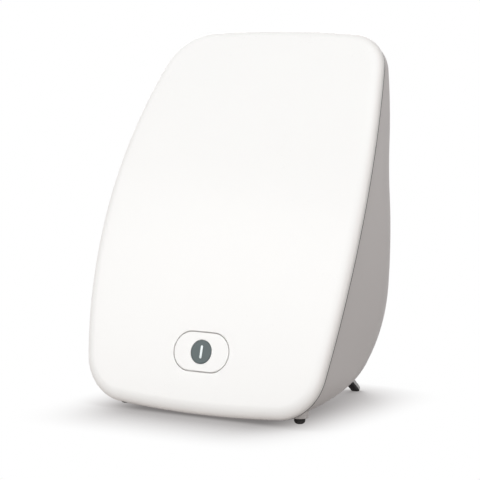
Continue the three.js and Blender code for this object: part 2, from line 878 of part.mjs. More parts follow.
// A frame on the back wall: X across, Y up, Z forward into the housing
function backFrame(x, z) {
  const frame = new THREE.Matrix4().makeRotationX(Math.PI / 2);
  return frame.setPosition(x, backPlane, z);
}

function plateRecess() {
  const shape = roundedPanel(plateHalfLength + clearance, plateHalfHeight + clearance, plateCorner);
  return prism(shape, -overrun, plateThickness + clearance, backFrame(0, plateHeight));
}

// The stand's hinge, and its pocket in the belly, drawn in side view
const standHingeY = backAt(standHingeHeight) - standHingeInset;
const tipRadius = legTipThickness / 2;
const legLength = (standHingeHeight - tipRadius + shoeFlat) / Math.sin(standSlope);
const standEnd = standHalfLength + clearance;
const pocketHalf = standEnd + washerThickness + clearance;

function sideFrame() {
  return new THREE.Matrix4().makeBasis(point(0, 1, 0), point(0, 0, 1), xAxis);
}

function pocketShape(grow) {
  const hinge = flat(standHingeY, standHingeHeight);
  const direction = (angle) => flat(Math.cos(angle), Math.sin(angle));
  const folded = direction(-standSlope - standFold);
  const foldedInward = flat(folded.y, -folded.x);
  const standing = direction(-standSlope);
  const standingUp = flat(-standing.y, standing.x);
  const radius = standBarrelRadius + runningGap + grow;
  const stop = legRootThickness / 2 + clearance + grow;
  const stopReach = Math.sqrt(radius ** 2 - stop ** 2);
  const end = legLength + tipRadius + overrun + grow;
  const from = Math.atan2(foldedInward.y, foldedInward.x);
  const to = -standSlope + Math.atan2(stop, stopReach);
  const round = Array.from({ length: pocketSteps + 1 }, (_, i) => {
    const angle = from + ((to - from) * i) / pocketSteps;
    return hinge.clone().addScaledVector(direction(angle), radius);
  });
  const outer = hinge.clone().addScaledVector(standing, pocketReach);
  const tip = hinge.clone().addScaledVector(folded, end);
  return new THREE.Shape([
    tip.clone().addScaledVector(foldedInward, -pocketReach),
    tip.clone().addScaledVector(foldedInward, radius),
    ...round,
    outer.clone().addScaledVector(standingUp, stop),
    outer.clone().addScaledVector(standingUp, -pocketReach),
  ]);
}

function standPocket(outside) {
  const half = pocketHalf + pocketWall;
  const walls = prism(pocketShape(pocketWall), -half, half, sideFrame()).intersect(outside);
  const space = prism(pocketShape(0), -pocketHalf, pocketHalf, sideFrame());
  const hole = rod(
    pinRadius + clearance,
    point(-half - overrun, standHingeY, standHingeHeight),
    point(half + overrun, standHingeY, standHingeHeight),
    smallSides,
  );
  return { add: [walls], remove: [space, hole] };
}

// Where the housing's underside is over a point of the floor
function undersideAt(outside, x, y) {
  const probe = rod(clearance, point(x, y, -overrun), point(x, y, faceChord), smallSides);
  return outside.intersect(probe).boundingBox().min[2];
}

function footTop(outside) {
  return undersideAt(outside, footPlace, footSetback) + footSunk;
}

function footSleeves(outside) {
  const top = footTop(outside) + clearance;
  const sides = [-1, 1].map((side) => side * footPlace);
  const column = (radius, x, from, to) =>
    rod(radius, point(x, footSetback, from), point(x, footSetback, to));
  const add = sides.map((x) =>
    column(footRadius + clearance + footSleeve, x, 0, top + footSleeve).intersect(outside),
  );
  const remove = sides.flatMap((x) => [
    column(footRadius + clearance, x, -overrun, top),
    column(footStemRadius + clearance, x, 0, top + footSleeve + overrun),
  ]);
  return { add, remove };
}

function rearHousing(outside) {
  const features = [
    screwWells(outside),
    driverBosses(outside),
    standPocket(outside),
    footSleeves(outside),
  ];
  const shell = outside.subtract(housingHollow());
  const whole = join([shell, tongue(outside), ...features.flatMap(({ add }) => add)]);
  const inletHole = rodBack(
    inletRadius + clearance,
    inletPlace,
    inletHeight,
    backInner - overrun,
    backPlane + overrun,
  );
  const holes = [...ventSlots(), plateRecess(), inletHole];
  return cut(whole, [...features.flatMap(({ remove }) => remove), ...holes]);
}

// The key and its switch

function onOffKey() {
  const cap = prism(pill(keyHalfLength, keyHalfWidth), -keyFlangeBack, 0, keyFrame, pillSteps);
  const flangeShape = pill(keyHalfLength + keyFlange, keyHalfWidth + keyFlange);
  const flange = prism(flangeShape, -keyFlangeBack, -keyFlangeDrop, keyFrame, pillSteps);
  const hollowShape = pill(keyHalfLength - keyWall, keyHalfWidth - keyWall);
  const hollow = prism(hollowShape, -keyFlangeBack - overrun, -keyWall, keyFrame, pillSteps);
  const stem = frameRod(keyFrame, keyStemRadius, 0, 0, -keyWall / 2, -keyStemReach, roundSides);
  const dotPocket = frameRod(
    keyFrame,
    dotRadius + clearance,
    0,
    0,
    -dotThickness - clearance,
    overrun,
    roundSides,
  );
  return cap.add(flange).subtract(hollow).add(stem).subtract(dotPocket);
}

// The bar stands upright, so its pill is turned a quarter
function uprightPill(halfLength, halfWidth, from, to) {
  const upright = keyFrame.clone().multiply(new THREE.Matrix4().makeRotationZ(Math.PI / 2));
  return prism(pill(halfLength, halfWidth), from, to, upright, barArcSteps);
}

function keyDotInlay() {
  const disc = frameRod(keyFrame, dotRadius, 0, 0, -dotThickness, 0, roundSides);
  const slot = uprightPill(
    barHalfLength + clearance,
    barHalfWidth + clearance,
    -dotThickness - overrun,
    overrun,
  );
  return disc.subtract(slot);
}

function keyBarWindow() {
  return uprightPill(barHalfLength, barHalfWidth, -dotThickness, 0);
}

function keyGuide() {
  const plateShape = roundedPanel(guideHalfLength, guideHalfWidth, keyFlange);
  const plate = prism(plateShape, -guideBack, -guideDrop, keyFrame);
  const collarTop = keyFlangeBack + keyTravel + clearance;
  const collarRadius = keyStemRadius + runningGap + guideCollarWall;
  const collar = frameRod(keyFrame, collarRadius, 0, 0, -guideBack, -collarTop, roundSides);
  const posts = [-1, 1].flatMap((side) => [
    frameRod(keyFrame, postRadius, side * postPlace, 0, -switchBack, -guideDrop),
    frameRod(keyFrame, stakeRadius, side * postPlace, 0, -switchBoardBack - stakeProud, -guideDrop),
  ]);
  const bore = frameRod(
    keyFrame,
    keyStemRadius + runningGap,
    0,
    0,
    -guideBack - overrun,
    -collarTop + overrun,
    roundSides,
  );
  const screwHoles = [-1, 1].map((side) =>
    frameRod(
      keyFrame,
      screwShankRadius + clearance,
      side * guideScrewPlace,
      0,
      -guideBack - overrun,
      -guideDrop + overrun,
    ),
  );
  return cut(join([plate, collar, ...posts]), [bore, ...screwHoles]);
}

function switchBoard() {
  const low = point(-switchBoardHalfLength, -switchBoardHalfWidth, -switchBoardBack);
  const high = point(switchBoardHalfLength, switchBoardHalfWidth, -switchBoardFront);
  const holes = [-1, 1].map((side) =>
    frameRod(
      keyFrame,
      stakeRadius + clearance,
      side * postPlace,
      0,
      -switchBoardBack - overrun,
      -switchBoardFront + overrun,
    ),
  );
  return cut(block(low, high, keyFrame), holes);
}

function pushSwitch() {
  const low = point(-switchHalf, -switchHalf, -switchBack);
  const high = point(switchHalf, switchHalf, -switchFront);
  const floor = -switchFront - switchDepth * switchBoreShare;
  const bore = frameRod(keyFrame, plungerRadius + runningGap, 0, 0, floor, -switchFront + overrun);
  return block(low, high, keyFrame).subtract(bore);
}

function switchPlunger() {
  const front = -keyStemReach - clearance;
  return frameRod(keyFrame, plungerRadius, 0, 0, -switchFront - plungerSunk, front);
}

// The light box

function lightTray() {
  const at = (inset, drop, share = 1) => ring(trayOutline, inset, drop, trayMiddle, share);
  const sheet = (drop) => sheetRingShares.map((share) => at(backplateInset, drop, share));
  const floor = [...sheet(trayFloorFront), at(trayFloorInset, trayFloorFront)];
  const under = [...sheet(trayFloorBack), at(trayFloorInset - trayWall, trayFloorBack)].reverse();
  const flangeBack = trayDrop + trayWall;
  const rim = [
    at(trayMouth, trayDrop),
    at(trayEdge, trayDrop),
    at(trayEdge, flangeBack),
    at(trayMouth - trayWall, flangeBack),
  ];
  const shell = skin(
    middlePoint(trayMiddle, trayFloorFront),
    [...floor, ...rim, ...under],
    middlePoint(trayMiddle, trayFloorBack),
  );
  const places = housingScrewPlaces();
  const rearBosses = places.map(({ x, z, floor: from, bossEnd }) =>
    rodBack(housingBossRadius, x, z, from - trayWall / 2, bossEnd),
  );
  const rearBores = places.map(({ x, z, floor: from, bossEnd }) =>
    rodBack(housingScrewRadius + clearance, x, z, from + trayWall, bossEnd + overrun, smallSides),
  );
  const lightRoom = bowedSheet(trayOutline, trayMiddle, backplateInset, 0, trayFloorFront);
  const plateBack = -trayFloorBack - backplateBossLength;
  const plateBosses = backplateScrewFrames().map((frame) =>
    frameRod(frame, backplateBossRadius, 0, 0, -trayFloorBack + trayWall / 2, plateBack),
  );
  const plateBores = backplateScrewFrames().map((frame) =>
    frameRod(frame, screwShankRadius + clearance, 0, 0, plateBack - overrun, -trayDrop),
  );
  const flangeHoles = trayScrewFrames().map((frame) =>
    frameRod(frame, screwShankRadius + clearance, 0, 0, -flangeBack - overrun, -trayDrop + overrun),
  );
  const bosses = join([...rearBosses, ...plateBosses]).subtract(lightRoom);
  return cut(shell.add(bosses), [...rearBores, ...plateBores, ...flangeHoles]);
}

const sheetBack = trayDrop - sheetGap;
const backplateBack = trayFloorFront - sheetGap;
const backplateFront = backplateBack - backplateThickness;
const ledBoardBack = backplateFront - sheetGap;
const ledBoardFront = ledBoardBack - boardThickness;

function diffuserSheet() {
  return bowedSheet(trayOutline, trayMiddle, sheetInset, sheetBack - sheetThickness, sheetBack);
}

function ledBackplate() {
  const sheet = bowedSheet(trayOutline, trayMiddle, backplateInset, backplateFront, backplateBack);
  const holes = backplateScrewFrames().map((frame) =>
    frameRod(
      frame,
      screwShankRadius + clearance,
      0,
      0,
      -backplateBack - overrun,
      -backplateFront + overrun,
    ),
  );
  return cut(sheet, holes);
}

function ledBoard(index) {
  const step = (ledBoardHighShare - ledBoardLowShare) / (ledBoardCount - 1);
  const frame = faceFrame(0, faceChord * (ledBoardLowShare + index * step));
  const low = point(-ledBoardHalfLength, -ledBoardHalfWidth, -ledBoardBack);
  const high = point(ledBoardHalfLength, ledBoardHalfWidth, -ledBoardFront);
  const pitch = (2 * ledBoardHalfLength) / ledCount;
  const half = ledSize / 2;
  const leds = Array.from({ length: ledCount }, (_, i) => {
    const x = (i + 0.5) * pitch - ledBoardHalfLength;
    return block(
      point(x - half, -half, -ledBoardFront - boardThickness / 2),
      point(x + half, half, -ledBoardFront + ledHeight),
      frame,
    );
  });
  return join([block(low, high, frame), ...leds]);
}

// What stands on the driver board, placed by shares of its half sizes from its middle

function driverPoint([across, up], y) {
  return point(across * driverHalfLength, y, driverHeight + up * driverHalfHeight);
}

const driverSeat = driverFront - clearance;

function driverBoard() {
  const middle = point(0, driverFront, driverHeight);
  const half = point(driverHalfLength, 0, driverHalfHeight);
  const low = middle.clone().sub(half);
  const high = middle.clone().add(half).add(point(0, boardThickness, 0));
  const holes = driverScrewPlaces().map(({ x, z }) =>
    rodBack(
      screwShankRadius + clearance,
      x,
      z,
      driverFront - overrun,
      driverBack + overrun,
      smallSides,
    ),
  );
  return cut(block(low, high), holes);
}

// A frame on the board's front: Z points forward, away from the board
function driverFrame(shares) {
  const frame = new THREE.Matrix4().makeRotationX(Math.PI / 2);
  return frame.setPosition(driverPoint(shares, driverSeat));
}

function capacitor(index) {
  const radius = capacitorRadii[index];
  const length = capacitorLengths[index];
  const neck = radius - capacitorCrimp;
  const profile = [
    [0, 0],
    [radius, 0],
    [radius, 2 * capacitorCrimp],
    [neck, 3 * capacitorCrimp],
    [radius, 4 * capacitorCrimp],
    [radius, length - capacitorCrimp],
    [neck, length],
    [0, length],
  ];
  return turned(profile, driverFrame(capacitorPlaceShares[index]));
}

function inductor() {
  const waist = inductorRadius - inductorWaist;
  const top = inductorLength - inductorFlange;
  const profile = [
    [0, 0],
    [inductorRadius, 0],
    [inductorRadius, inductorFlange],
    [waist, inductorFlange],
    [waist, top],
    [inductorRadius, top],
    [inductorRadius, inductorLength],
    [0, inductorLength],
  ];
  return turned(profile, driverFrame(inductorPlaceShare));
}

function heatSink() {
  const frame = driverFrame(sinkPlaceShare);
  const foot = block(
    point(-sinkHalfLength, -sinkHalfHeight, 0),
    point(sinkHalfLength, sinkHalfHeight, sinkFoot),
    frame,
  );
  const fin = ((2 * sinkHalfLength) / (sinkFinCount - 1 + sinkFinShare)) * sinkFinShare;
  const pitch = fin / sinkFinShare;
  const fins = Array.from({ length: sinkFinCount }, (_, i) => {
    const x = i * pitch - sinkHalfLength;
    return block(
      point(x, -sinkHalfHeight, sinkFoot / 2),
      point(x + fin, sinkHalfHeight, sinkDepth),
      frame,
    );
  });
  return join([foot, ...fins]);
}

function boardPlug(shares) {
  const low = point(-plugHalfLength, -plugHalfHeight, 0);
  const high = point(plugHalfLength, plugHalfHeight, plugDepth);
  return block(low, high, driverFrame(shares));
}

// The strips' terminal on the back of the light box
const terminalFrame = faceFrame(terminalPlace, faceChord * terminalHeightShare);
const terminalFront = trayFloorBack + sheetGap;
const terminalBack = terminalFront + terminalDepth;

function ledTerminal() {
  const low = point(-terminalHalfLength, -terminalHalfHeight, -terminalBack);
  const high = point(terminalHalfLength, terminalHalfHeight, -terminalFront);
  return block(low, high, terminalFrame);
}

// A wire that leaves both its ends straight
function wire(start, startWay, end, endWay) {
  const curve = new THREE.CubicBezierCurve3(
    start,
    start.clone().addScaledVector(startWay, wireBend * 2),
    end.clone().addScaledVector(endWay, wireBend * 2),
    end,
  );
  const path = new THREE.CatmullRomCurve3([
    start,
    start.clone().addScaledVector(startWay, wireBend / 3),
    ...curve.getPoints(wireSteps / 3).slice(2, -2),
    end.clone().addScaledVector(endWay, wireBend / 3),
    end,
  ]);
  const section = new THREE.Shape(
    Array.from({ length: wireSides }, (_, i) => {
      const angle = (2 * Math.PI * i) / wireSides;
      return flat(wireRadius * Math.cos(angle), wireRadius * Math.sin(angle));
    }),
  );
  const settings = { steps: wireSteps, extrudePath: path, bevelEnabled: false };
  return solidOf(new THREE.ExtrudeGeometry(section, settings));
}

const forward = point(0, -1, 0);
const plugFace = driverSeat - plugDepth - clearance;

function ledHarness() {
  const start = driverPoint(ledPlugShare, plugFace);
  const end = inFrame(terminalFrame, 0, 0, -terminalBack - clearance);
  return wire(start, forward, end, outOf(terminalFrame).negate());
}

function inletHarness() {
  const start = driverPoint(inletPlugShare, plugFace);
  const end = point(inletPlace, backPlane + inletFlangeThickness - inletLength, inletHeight);
  return wire(start, forward, end.addScaledVector(forward, clearance), forward);
}

function switchHarness() {
  const start = driverPoint(switchPlugShare, plugFace);
  const end = inFrame(keyFrame, postPlace / 2, 0, -switchBoardBack - clearance);
  return wire(start, forward, end, outOf(keyFrame).negate());
}

// The inlet, its nut and the bare plate on the back

function dcInletSocket() {
  const flangeBack = -clearance;
  const face = flangeBack - inletFlangeThickness;
  const end = face + inletLength;
  const profile = [
    [0, face + inletPinSunk],
    [inletPinRadius, face + inletPinSunk],
    [inletPinRadius, face + inletBoreDepth],
    [inletBoreRadius, face + inletBoreDepth],
    [inletBoreRadius, face],
    [inletFlangeRadius, face],
    [inletFlangeRadius, flangeBack],
    [inletRadius, flangeBack],
    [inletRadius, end],
    [0, end],
  ];
  return turned(profile, backFrame(inletPlace, inletHeight));
}

function dcInletNut() {
  const front = backInner - clearance - nutThickness;
  const back = backInner - clearance;
  const hexagon = rodBack(nutRadius, inletPlace, inletHeight, front, back, nutSides);
  const bore = rodBack(
    inletRadius + clearance,
    inletPlace,
    inletHeight,
    front - overrun,
    back + overrun,
  );
  return hexagon.subtract(bore);
}

function ratingPlate() {
  const shape = roundedPanel(plateHalfLength, plateHalfHeight, plateCorner);
  return prism(shape, 0, plateThickness, backFrame(0, plateHeight));
}

// Feet

function frontFoot(outside, side) {
  const top = footTop(outside);
  const barb = top + footSleeve + 2 * clearance;
  const profile = [
    [0, 0],
    [footRadius - footRound, 0],
    [footRadius, footRound],
    [footRadius, top],
    [footStemRadius, top],
    [footStemRadius, barb],
    [footBarbRadius, barb],
    [footStemRadius, barb + footBarbHeight],
    [0, barb + footBarbHeight],
  ];
  const frame = new THREE.Matrix4().makeTranslation(side * footPlace, footSetback, 0);
  return turned(profile, frame);
}

// The stand is drawn with its legs along +Y of its own frame, which turns about X at the hinge

function standFrame() {
  const frame = new THREE.Matrix4().makeRotationX(-standSlope);
  return frame.setPosition(0, standHingeY, standHingeHeight);
}

// A leg from the barrel's middle to a rounded tip, tapering both ways
function legBar(x) {
  const corners = (y, width, thickness) => {
    const half = width / 2;
    const rise = thickness / 2;
    const signs = [[-1, -1], [1, -1], [1, 1], [-1, 1]];
    return signs.map(([a, b]) => point(x + a * half, y, b * rise));
  };
  const root = corners(0, legRootWidth, legRootThickness);
  const tip = corners(legLength, legTipWidth, legTipThickness);
  const centre = (ends) => ends[0].clone().add(ends[2]).divideScalar(2);
  const geometry = new THREE.BufferGeometry().setFromPoints([
    ...root.flatMap((p, i) => [centre(root), root[(i + 1) % root.length], p]),
    ...wallBetween(tip, root),
    ...tip.flatMap((p, i) => [centre(tip), p, tip[(i + 1) % tip.length]]),
  ]);
  const half = legTipWidth / 2;
  const end = [x - half, x + half].map((across) => inFrame(standFrame(), across, legLength, 0));
  return solidOf(geometry.applyMatrix4(standFrame())).add(rod(tipRadius, ...end));
}

// The space of the rubber under a leg's tip, and of its peg
function shoeSpace(x, grow) {
  const seat = shoeThickness - tipRadius + grow;
  const space = block(
    point(x - legRootWidth, legLength - shoeLength - grow, -legRootThickness),
    point(x + legRootWidth, legLength + legTipThickness, seat),
    standFrame(),
  );
  const pegPlace = legLength - shoeLength / 2;
  const pegEnds = [-tipRadius, seat + shoePegHeight].map((z) =>
    inFrame(standFrame(), x, pegPlace, z),
  );
  return { space, peg: rod(shoePegRadius + grow, ...pegEnds, smallSides) };
}

function onHinge(x) {
  return point(x, standHingeY, standHingeHeight);
}

function stand() {
  const barrel = rod(standBarrelRadius, onHinge(-standHalfLength), onHinge(standHalfLength));
  const bores = [-1, 1].map((side) => {
    const from = side * (standHalfLength - pinReach - overrun);
    const to = side * (standHalfLength + overrun);
    return rod(pinRadius + clearance, onHinge(from), onHinge(to), smallSides);
  });
  const shoes = [-1, 1].flatMap((side) => {
    const { space, peg } = shoeSpace(side * legPlace, clearance);
    return [space, peg];
  });
  return cut(join([barrel, legBar(-legPlace), legBar(legPlace)]), [...bores, ...shoes]);
}

// The rubber under a tip, cut flat where it stands
function standShoe(side) {
  const x = side * legPlace;
  const { space, peg } = shoeSpace(x, 0);
  const floor = block(
    point(x - legRootWidth, standHingeY, -legRootWidth),
    point(x + legRootWidth, standHingeY + legLength + legRootWidth, 0),
  );
  return legBar(x).intersect(space).add(peg).subtract(floor);
}

function hingePin(side) {
  const seat = side * (pocketHalf + pocketWall + clearance);
  const inner = side * (standHalfLength - pinReach);
  const shank = rod(pinRadius, onHinge(inner), onHinge(seat + (side * pinHeadLength) / 2), smallSides);
  return shank.add(rod(pinHeadRadius, onHinge(seat), onHinge(seat + side * pinHeadLength), smallSides));
}

function standWasher(side) {
  const from = side * (standHalfLength + clearance);
  const to = from + side * washerThickness;
  const disc = rod(washerRadius, onHinge(from), onHinge(to));
  const hole = rod(
    pinRadius + clearance,
    onHinge(from - side * overrun),
    onHinge(to + side * overrun),
    smallSides,
  );
  return disc.subtract(hole);
}

// The whole lamp

function addShells(outside) {
  addPiece("front_cover", frontCover(), plastics.cover);
  addPiece("rear_housing", rearHousing(outside), plastics.housing);
  addPiece("rating_plate", ratingPlate(), plastics.plate);
  addPiece("dc_inlet_socket", dcInletSocket(), plastics.black);
  addPiece("dc_inlet_nut", dcInletNut(), metals.steel);
  housingScrewPlaces().forEach(({ x, z, bossEnd }, i) => {
    const seat = point(x, bossEnd + wellFloor + 2 * clearance, z);
    const solid = screw(
      seat,
      screwForward,
      housingScrewRadius,
      housingScrewLength,
      housingHeadRadius,
      housingHeadHeight,
      true,
    );
    addPiece("housing_screw_" + (i + 1), solid, metals.steel);
  });
}

function addKey() {
  addPiece("on_off_key", onOffKey(), plastics.cover);
  addPiece("key_dot_inlay", keyDotInlay(), plastics.inlay);
  addPiece("key_bar_window", keyBarWindow(), plastics.window);
  addPiece("switch_plunger", switchPlunger(), plastics.nylon);
  addPiece("key_guide", keyGuide(), plastics.inner);
  addPiece("switch_board", switchBoard(), plastics.board);
  addPiece("push_switch", pushSwitch(), plastics.black);
  [-1, 1].forEach((side, i) => {
    const seat = inFrame(keyFrame, side * guideScrewPlace, 0, -guideBack - clearance);
    addPiece("key_guide_screw_" + (i + 1), smallScrew(seat, outOf(keyFrame)), metals.steel);
  });
}

function addLightBox() {
  addPiece("diffuser_sheet", diffuserSheet(), plastics.diffuser);
  addPiece("light_tray", lightTray(), plastics.inner);
  addPiece("led_backplate", ledBackplate(), metals.aluminium);
  for (let i = 0; i < ledBoardCount; i++) {
    addPiece("led_board_" + (i + 1), ledBoard(i), plastics.lightBoard);
  }
  trayScrewFrames().forEach((frame, i) => {
    const seat = inFrame(frame, 0, 0, -trayDrop - trayWall - sheetGap);
    addPiece("tray_screw_" + (i + 1), smallScrew(seat, outOf(frame)), metals.steel);
  });
  backplateScrewFrames().forEach((frame, i) => {
    const seat = inFrame(frame, 0, 0, -backplateFront + sheetGap);
    const solid = smallScrew(seat, outOf(frame).negate(), screwLength);
    addPiece("backplate_screw_" + (i + 1), solid, metals.steel);
  });
}

function addElectronics() {
  addPiece("driver_board", driverBoard(), plastics.board);
  driverScrewPlaces().forEach(({ x, z }, i) => {
    const seat = point(x, driverSeat, z);
    const length = driverScrewReach + boardThickness + clearance;
    addPiece("driver_screw_" + (i + 1), smallScrew(seat, point(0, 1, 0), length), metals.steel);
  });
  capacitorRadii.forEach((_, i) => {
    addPiece("driver_capacitor_" + (i + 1), capacitor(i), metals.capacitor);
  });
  addPiece("driver_inductor", inductor(), metals.ferrite);
  addPiece("driver_heat_sink", heatSink(), metals.aluminium);
  addPiece("led_connector", boardPlug(ledPlugShare), plastics.nylon);
  addPiece("inlet_connector", boardPlug(inletPlugShare), plastics.nylon);
  addPiece("switch_connector", boardPlug(switchPlugShare), plastics.nylon);
  addPiece("led_terminal", ledTerminal(), plastics.nylon);
  addPiece("led_harness", ledHarness(), plastics.wire);
  addPiece("inlet_harness", inletHarness(), plastics.wire);
  addPiece("switch_harness", switchHarness(), plastics.wire);
}

function addFeetAndStand(outside) {
  addPiece("stand", stand(), plastics.stand);
  const sides = { left: -1, right: 1 };
  for (const [name, side] of Object.entries(sides)) {
    addPiece("front_foot_" + name, frontFoot(outside, side), plastics.rubber);
    addPiece("stand_shoe_" + name, standShoe(side), plastics.rubber);
    addPiece("hinge_pin_" + name, hingePin(side), metals.steel);
    addPiece("stand_washer_" + name, standWasher(side), plastics.nylon);
  }
}

const housingSolid = housingOutside();
addShells(housingSolid);
addKey();
addLightBox();
addElectronics();
addFeetAndStand(housingSolid);

// The origin lies on the floor, under the middle of the whole lamp
const extent = new THREE.Box3().setFromObject(lamp);
lamp.position.y = -(extent.min.y + extent.max.y) / 2;

export default lamp;
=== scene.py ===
import json
import math

import bmesh
import bpy
import numpy as np
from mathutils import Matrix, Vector


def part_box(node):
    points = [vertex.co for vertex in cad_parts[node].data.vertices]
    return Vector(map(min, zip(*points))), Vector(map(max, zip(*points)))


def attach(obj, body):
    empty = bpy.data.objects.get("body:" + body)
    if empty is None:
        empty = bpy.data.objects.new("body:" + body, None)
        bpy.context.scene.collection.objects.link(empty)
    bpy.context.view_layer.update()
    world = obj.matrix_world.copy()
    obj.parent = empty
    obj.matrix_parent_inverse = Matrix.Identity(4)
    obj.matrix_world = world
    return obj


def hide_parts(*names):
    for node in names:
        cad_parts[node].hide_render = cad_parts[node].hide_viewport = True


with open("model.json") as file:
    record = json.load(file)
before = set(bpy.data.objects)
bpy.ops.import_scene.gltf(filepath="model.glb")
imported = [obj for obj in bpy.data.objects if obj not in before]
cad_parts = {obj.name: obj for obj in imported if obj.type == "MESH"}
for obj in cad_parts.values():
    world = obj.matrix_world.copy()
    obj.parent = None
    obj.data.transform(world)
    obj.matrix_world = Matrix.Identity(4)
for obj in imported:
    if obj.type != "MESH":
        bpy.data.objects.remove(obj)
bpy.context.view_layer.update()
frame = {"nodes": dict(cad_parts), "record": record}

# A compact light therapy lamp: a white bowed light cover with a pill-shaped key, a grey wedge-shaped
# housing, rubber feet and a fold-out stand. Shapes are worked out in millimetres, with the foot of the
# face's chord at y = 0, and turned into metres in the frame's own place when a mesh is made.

MM = 0.001

# The camera, as the photograph's own view was measured
CAMERA_AZIMUTH = math.radians(32.74)
CAMERA_ELEVATION = math.radians(5.55)
CAMERA_DISTANCE = 1.6097
CAMERA_TARGET = (0.0, 50.0, 150.0)
CAMERA_LENS = 158.9
CAMERA_SENSOR = 36.0
CAMERA_SHIFT = (0.02086, -0.0577)
CAMERA_CLIP_END = 50.0

# The floor and the light, in metres
FLOOR_HALF = 12.0
FLOOR_LIT = (0.42, 0.392, 0.375)
SHADOW_REACH = 0.09
SHADOW_SAMPLES = 32
SHADOW_CORE = 0.19
SHADOW_FILL = 0.4
SHADOW_EDGE = 1.6
SHADOW_SIDES = (0.05, 0.13)
SHADOW_TONE = (1.0, 0.94, 0.93)
SKY_LEVEL = 0.3
LIGHT_AIM = (0.0, 0.0, 0.14)
# Azimuth and elevation in degrees, distance and size in metres, power in watts
LIGHTS = {
    "left_light": (-27, 20, 2.2, 1.3, 15.5),
    "front_light": (10, 14, 2.2, 1.3, 9.8),
    "right_light": (72, 22, 2.2, 1.3, 9.6),
    "top_light": (8, 72, 2.0, 1.6, 10),
    "back_light": (215, 20, 2.2, 1.3, 14),
}

# Colours that show in the photograph
COVER_WHITE = (0.955, 0.952, 0.94)
# Painted shade: a darker, warmer white that the cover takes where it curls round the rim, standing in for
# the shade that falls there
RIM_PAINTED_SHADE = (0.89, 0.866, 0.845)
HOUSING_GREY = (0.712, 0.68, 0.669)
INLAY_GREY = (0.084, 0.112, 0.116)
WINDOW_WHITE = (0.9, 0.975, 0.99)
RUBBER_BLACK = (0.03, 0.028, 0.028)
STAND_GREY = (0.55, 0.54, 0.53)

# A Mix node's sockets for colours
MIX_INPUTS = (0, 6, 7)
MIX_RESULT = 2

# How moulded plastic varies
CLOUD_SIZE = 0.045
CLOUD_SHARE = 0.6
CLOUD_GLOSS = 0.06
SPECK_GLOSS = 0.12

# The face and the white cover
CHORD = 300.0
LOW_HALF = 100.0
HIGH_HALF = 91.5
SIDE_BOW = 18.5
LOW_BOW = 5.8
HIGH_BOW = 5.5
CORNER = 38.0
FACE_BOW = 15.0
DOME = 0.5
TILT = math.radians(24)
LIFT = 10.0
MIDDLE = np.array([0.0, 0.45 * CHORD])
COVER_WALL = 2.4
RIM_WIDTH = 9.0
RIM_DEPTH = 5.0
RIM_CURL = 1.2
COVER_CURL = 0.5
COVER_DEPTH = 7.2
EDGE_SOFTENING = 0.35
# Where the painted shade on the rim starts and where it is full, as drops behind the face
RIM_SHADE_SPAN = (0.3, 3.5)

# Play between pieces, and how far cuts run on past a surface
CLEARANCE = 0.3
OVERRUN = 2.0
CHAMFER = 0.4

# The grey housing
HOUSING_WALL = 2.6
BACK_PLANE = 131.7
BELLY_BASE = 2.0
BELLY_HEIGHT = 94.0
BELLY_POWER = 2.1
EDGE_RADIUS = 45.5
EDGE_SHARE = 0.75
EDGE_BLEND = 8.0
SEAM_GROOVE = 0.8
SEAM_ROUND = 0.3
# Play round the dark strip of painted shade in the seam
SHADOW_STRIP_PLAY = 0.06
SOFT_SHARE = 0.9
DRAFT = 0.7
LIP_DEPTH = 8.0
TONGUE_GAP = 0.4
TONGUE_WALL = 1.8
TONGUE_RISE = 2.5
TONGUE_ROOT = 3.5
TRAY_BACK = 20.0
TRAY_BOSS_LENGTH = 10.0

# The key
KEY_HEIGHT = 39.0
KEY_HALF = (24.1, 14.6)
KEY_GAP = 0.8
KEY_OPENING_FLARE = 1.0
KEY_OPENING_DEPTH = 8.0
KEY_WALL = 2.6
KEY_EDGE = 0.5
KEY_FLANGE = 2.2
KEY_FLANGE_DROP = 3.4
KEY_FLANGE_BACK = 4.6
KEY_STEM_RADIUS = 4.0
KEY_STEM_REACH = 10.0
KEY_POCKET_SOFT = 0.15
DOT_RADIUS = 9.0
DOT_THICKNESS = 1.0
DOT_SOFT = 0.2
BAR_HALF = (5.0, 1.0)
BAR_GAP = 0.12
BAR_SOFT = 0.15
BAR_SOFT_MIDDLE = 0.3

# Feet and stand
FOOT_SETBACK = 22.8
FOOT_RADIUS = 4.2
FOOT_ROUND = 2.8
FOOT_STEM_RADIUS = 2.2
FOOT_BARB_RADIUS = 3.2
FOOT_BARB_HEIGHT = 2.0
FOOT_SLEEVE = 2.2
FOOT_SHOWN = 4.6
SEAT_SOFT = 0.8
STAND_SLOPE = math.radians(38)
STAND_BARREL_RADIUS = 5.0
STAND_BARREL_SOFT = 0.6
STAND_HALF_LENGTH = 56.0
STAND_FOLD = math.radians(110)
LEG_PLACE = 47.0
LEG_ROOT = (9.0, 6.0)
LEG_TIP = (6.4, 5.4)
LEG_CORNER = 1.1
LEG_CORNER_MOST = 0.95
SHOE_LENGTH = 20.0
SHOE_THICKNESS = 2.2
SHOE_FLAT = 0.4
SHOE_GAP = 0.1
SHOE_TRIM = 40.0
PIN_RADIUS = 2.0
PIN_REACH = 12.0
PIN_ROOM = 1.0
POCKET_WALL = 2.4
POCKET_SIDE = 1.5
POCKET_REACH = 70.0
POCKET_END = 1.0

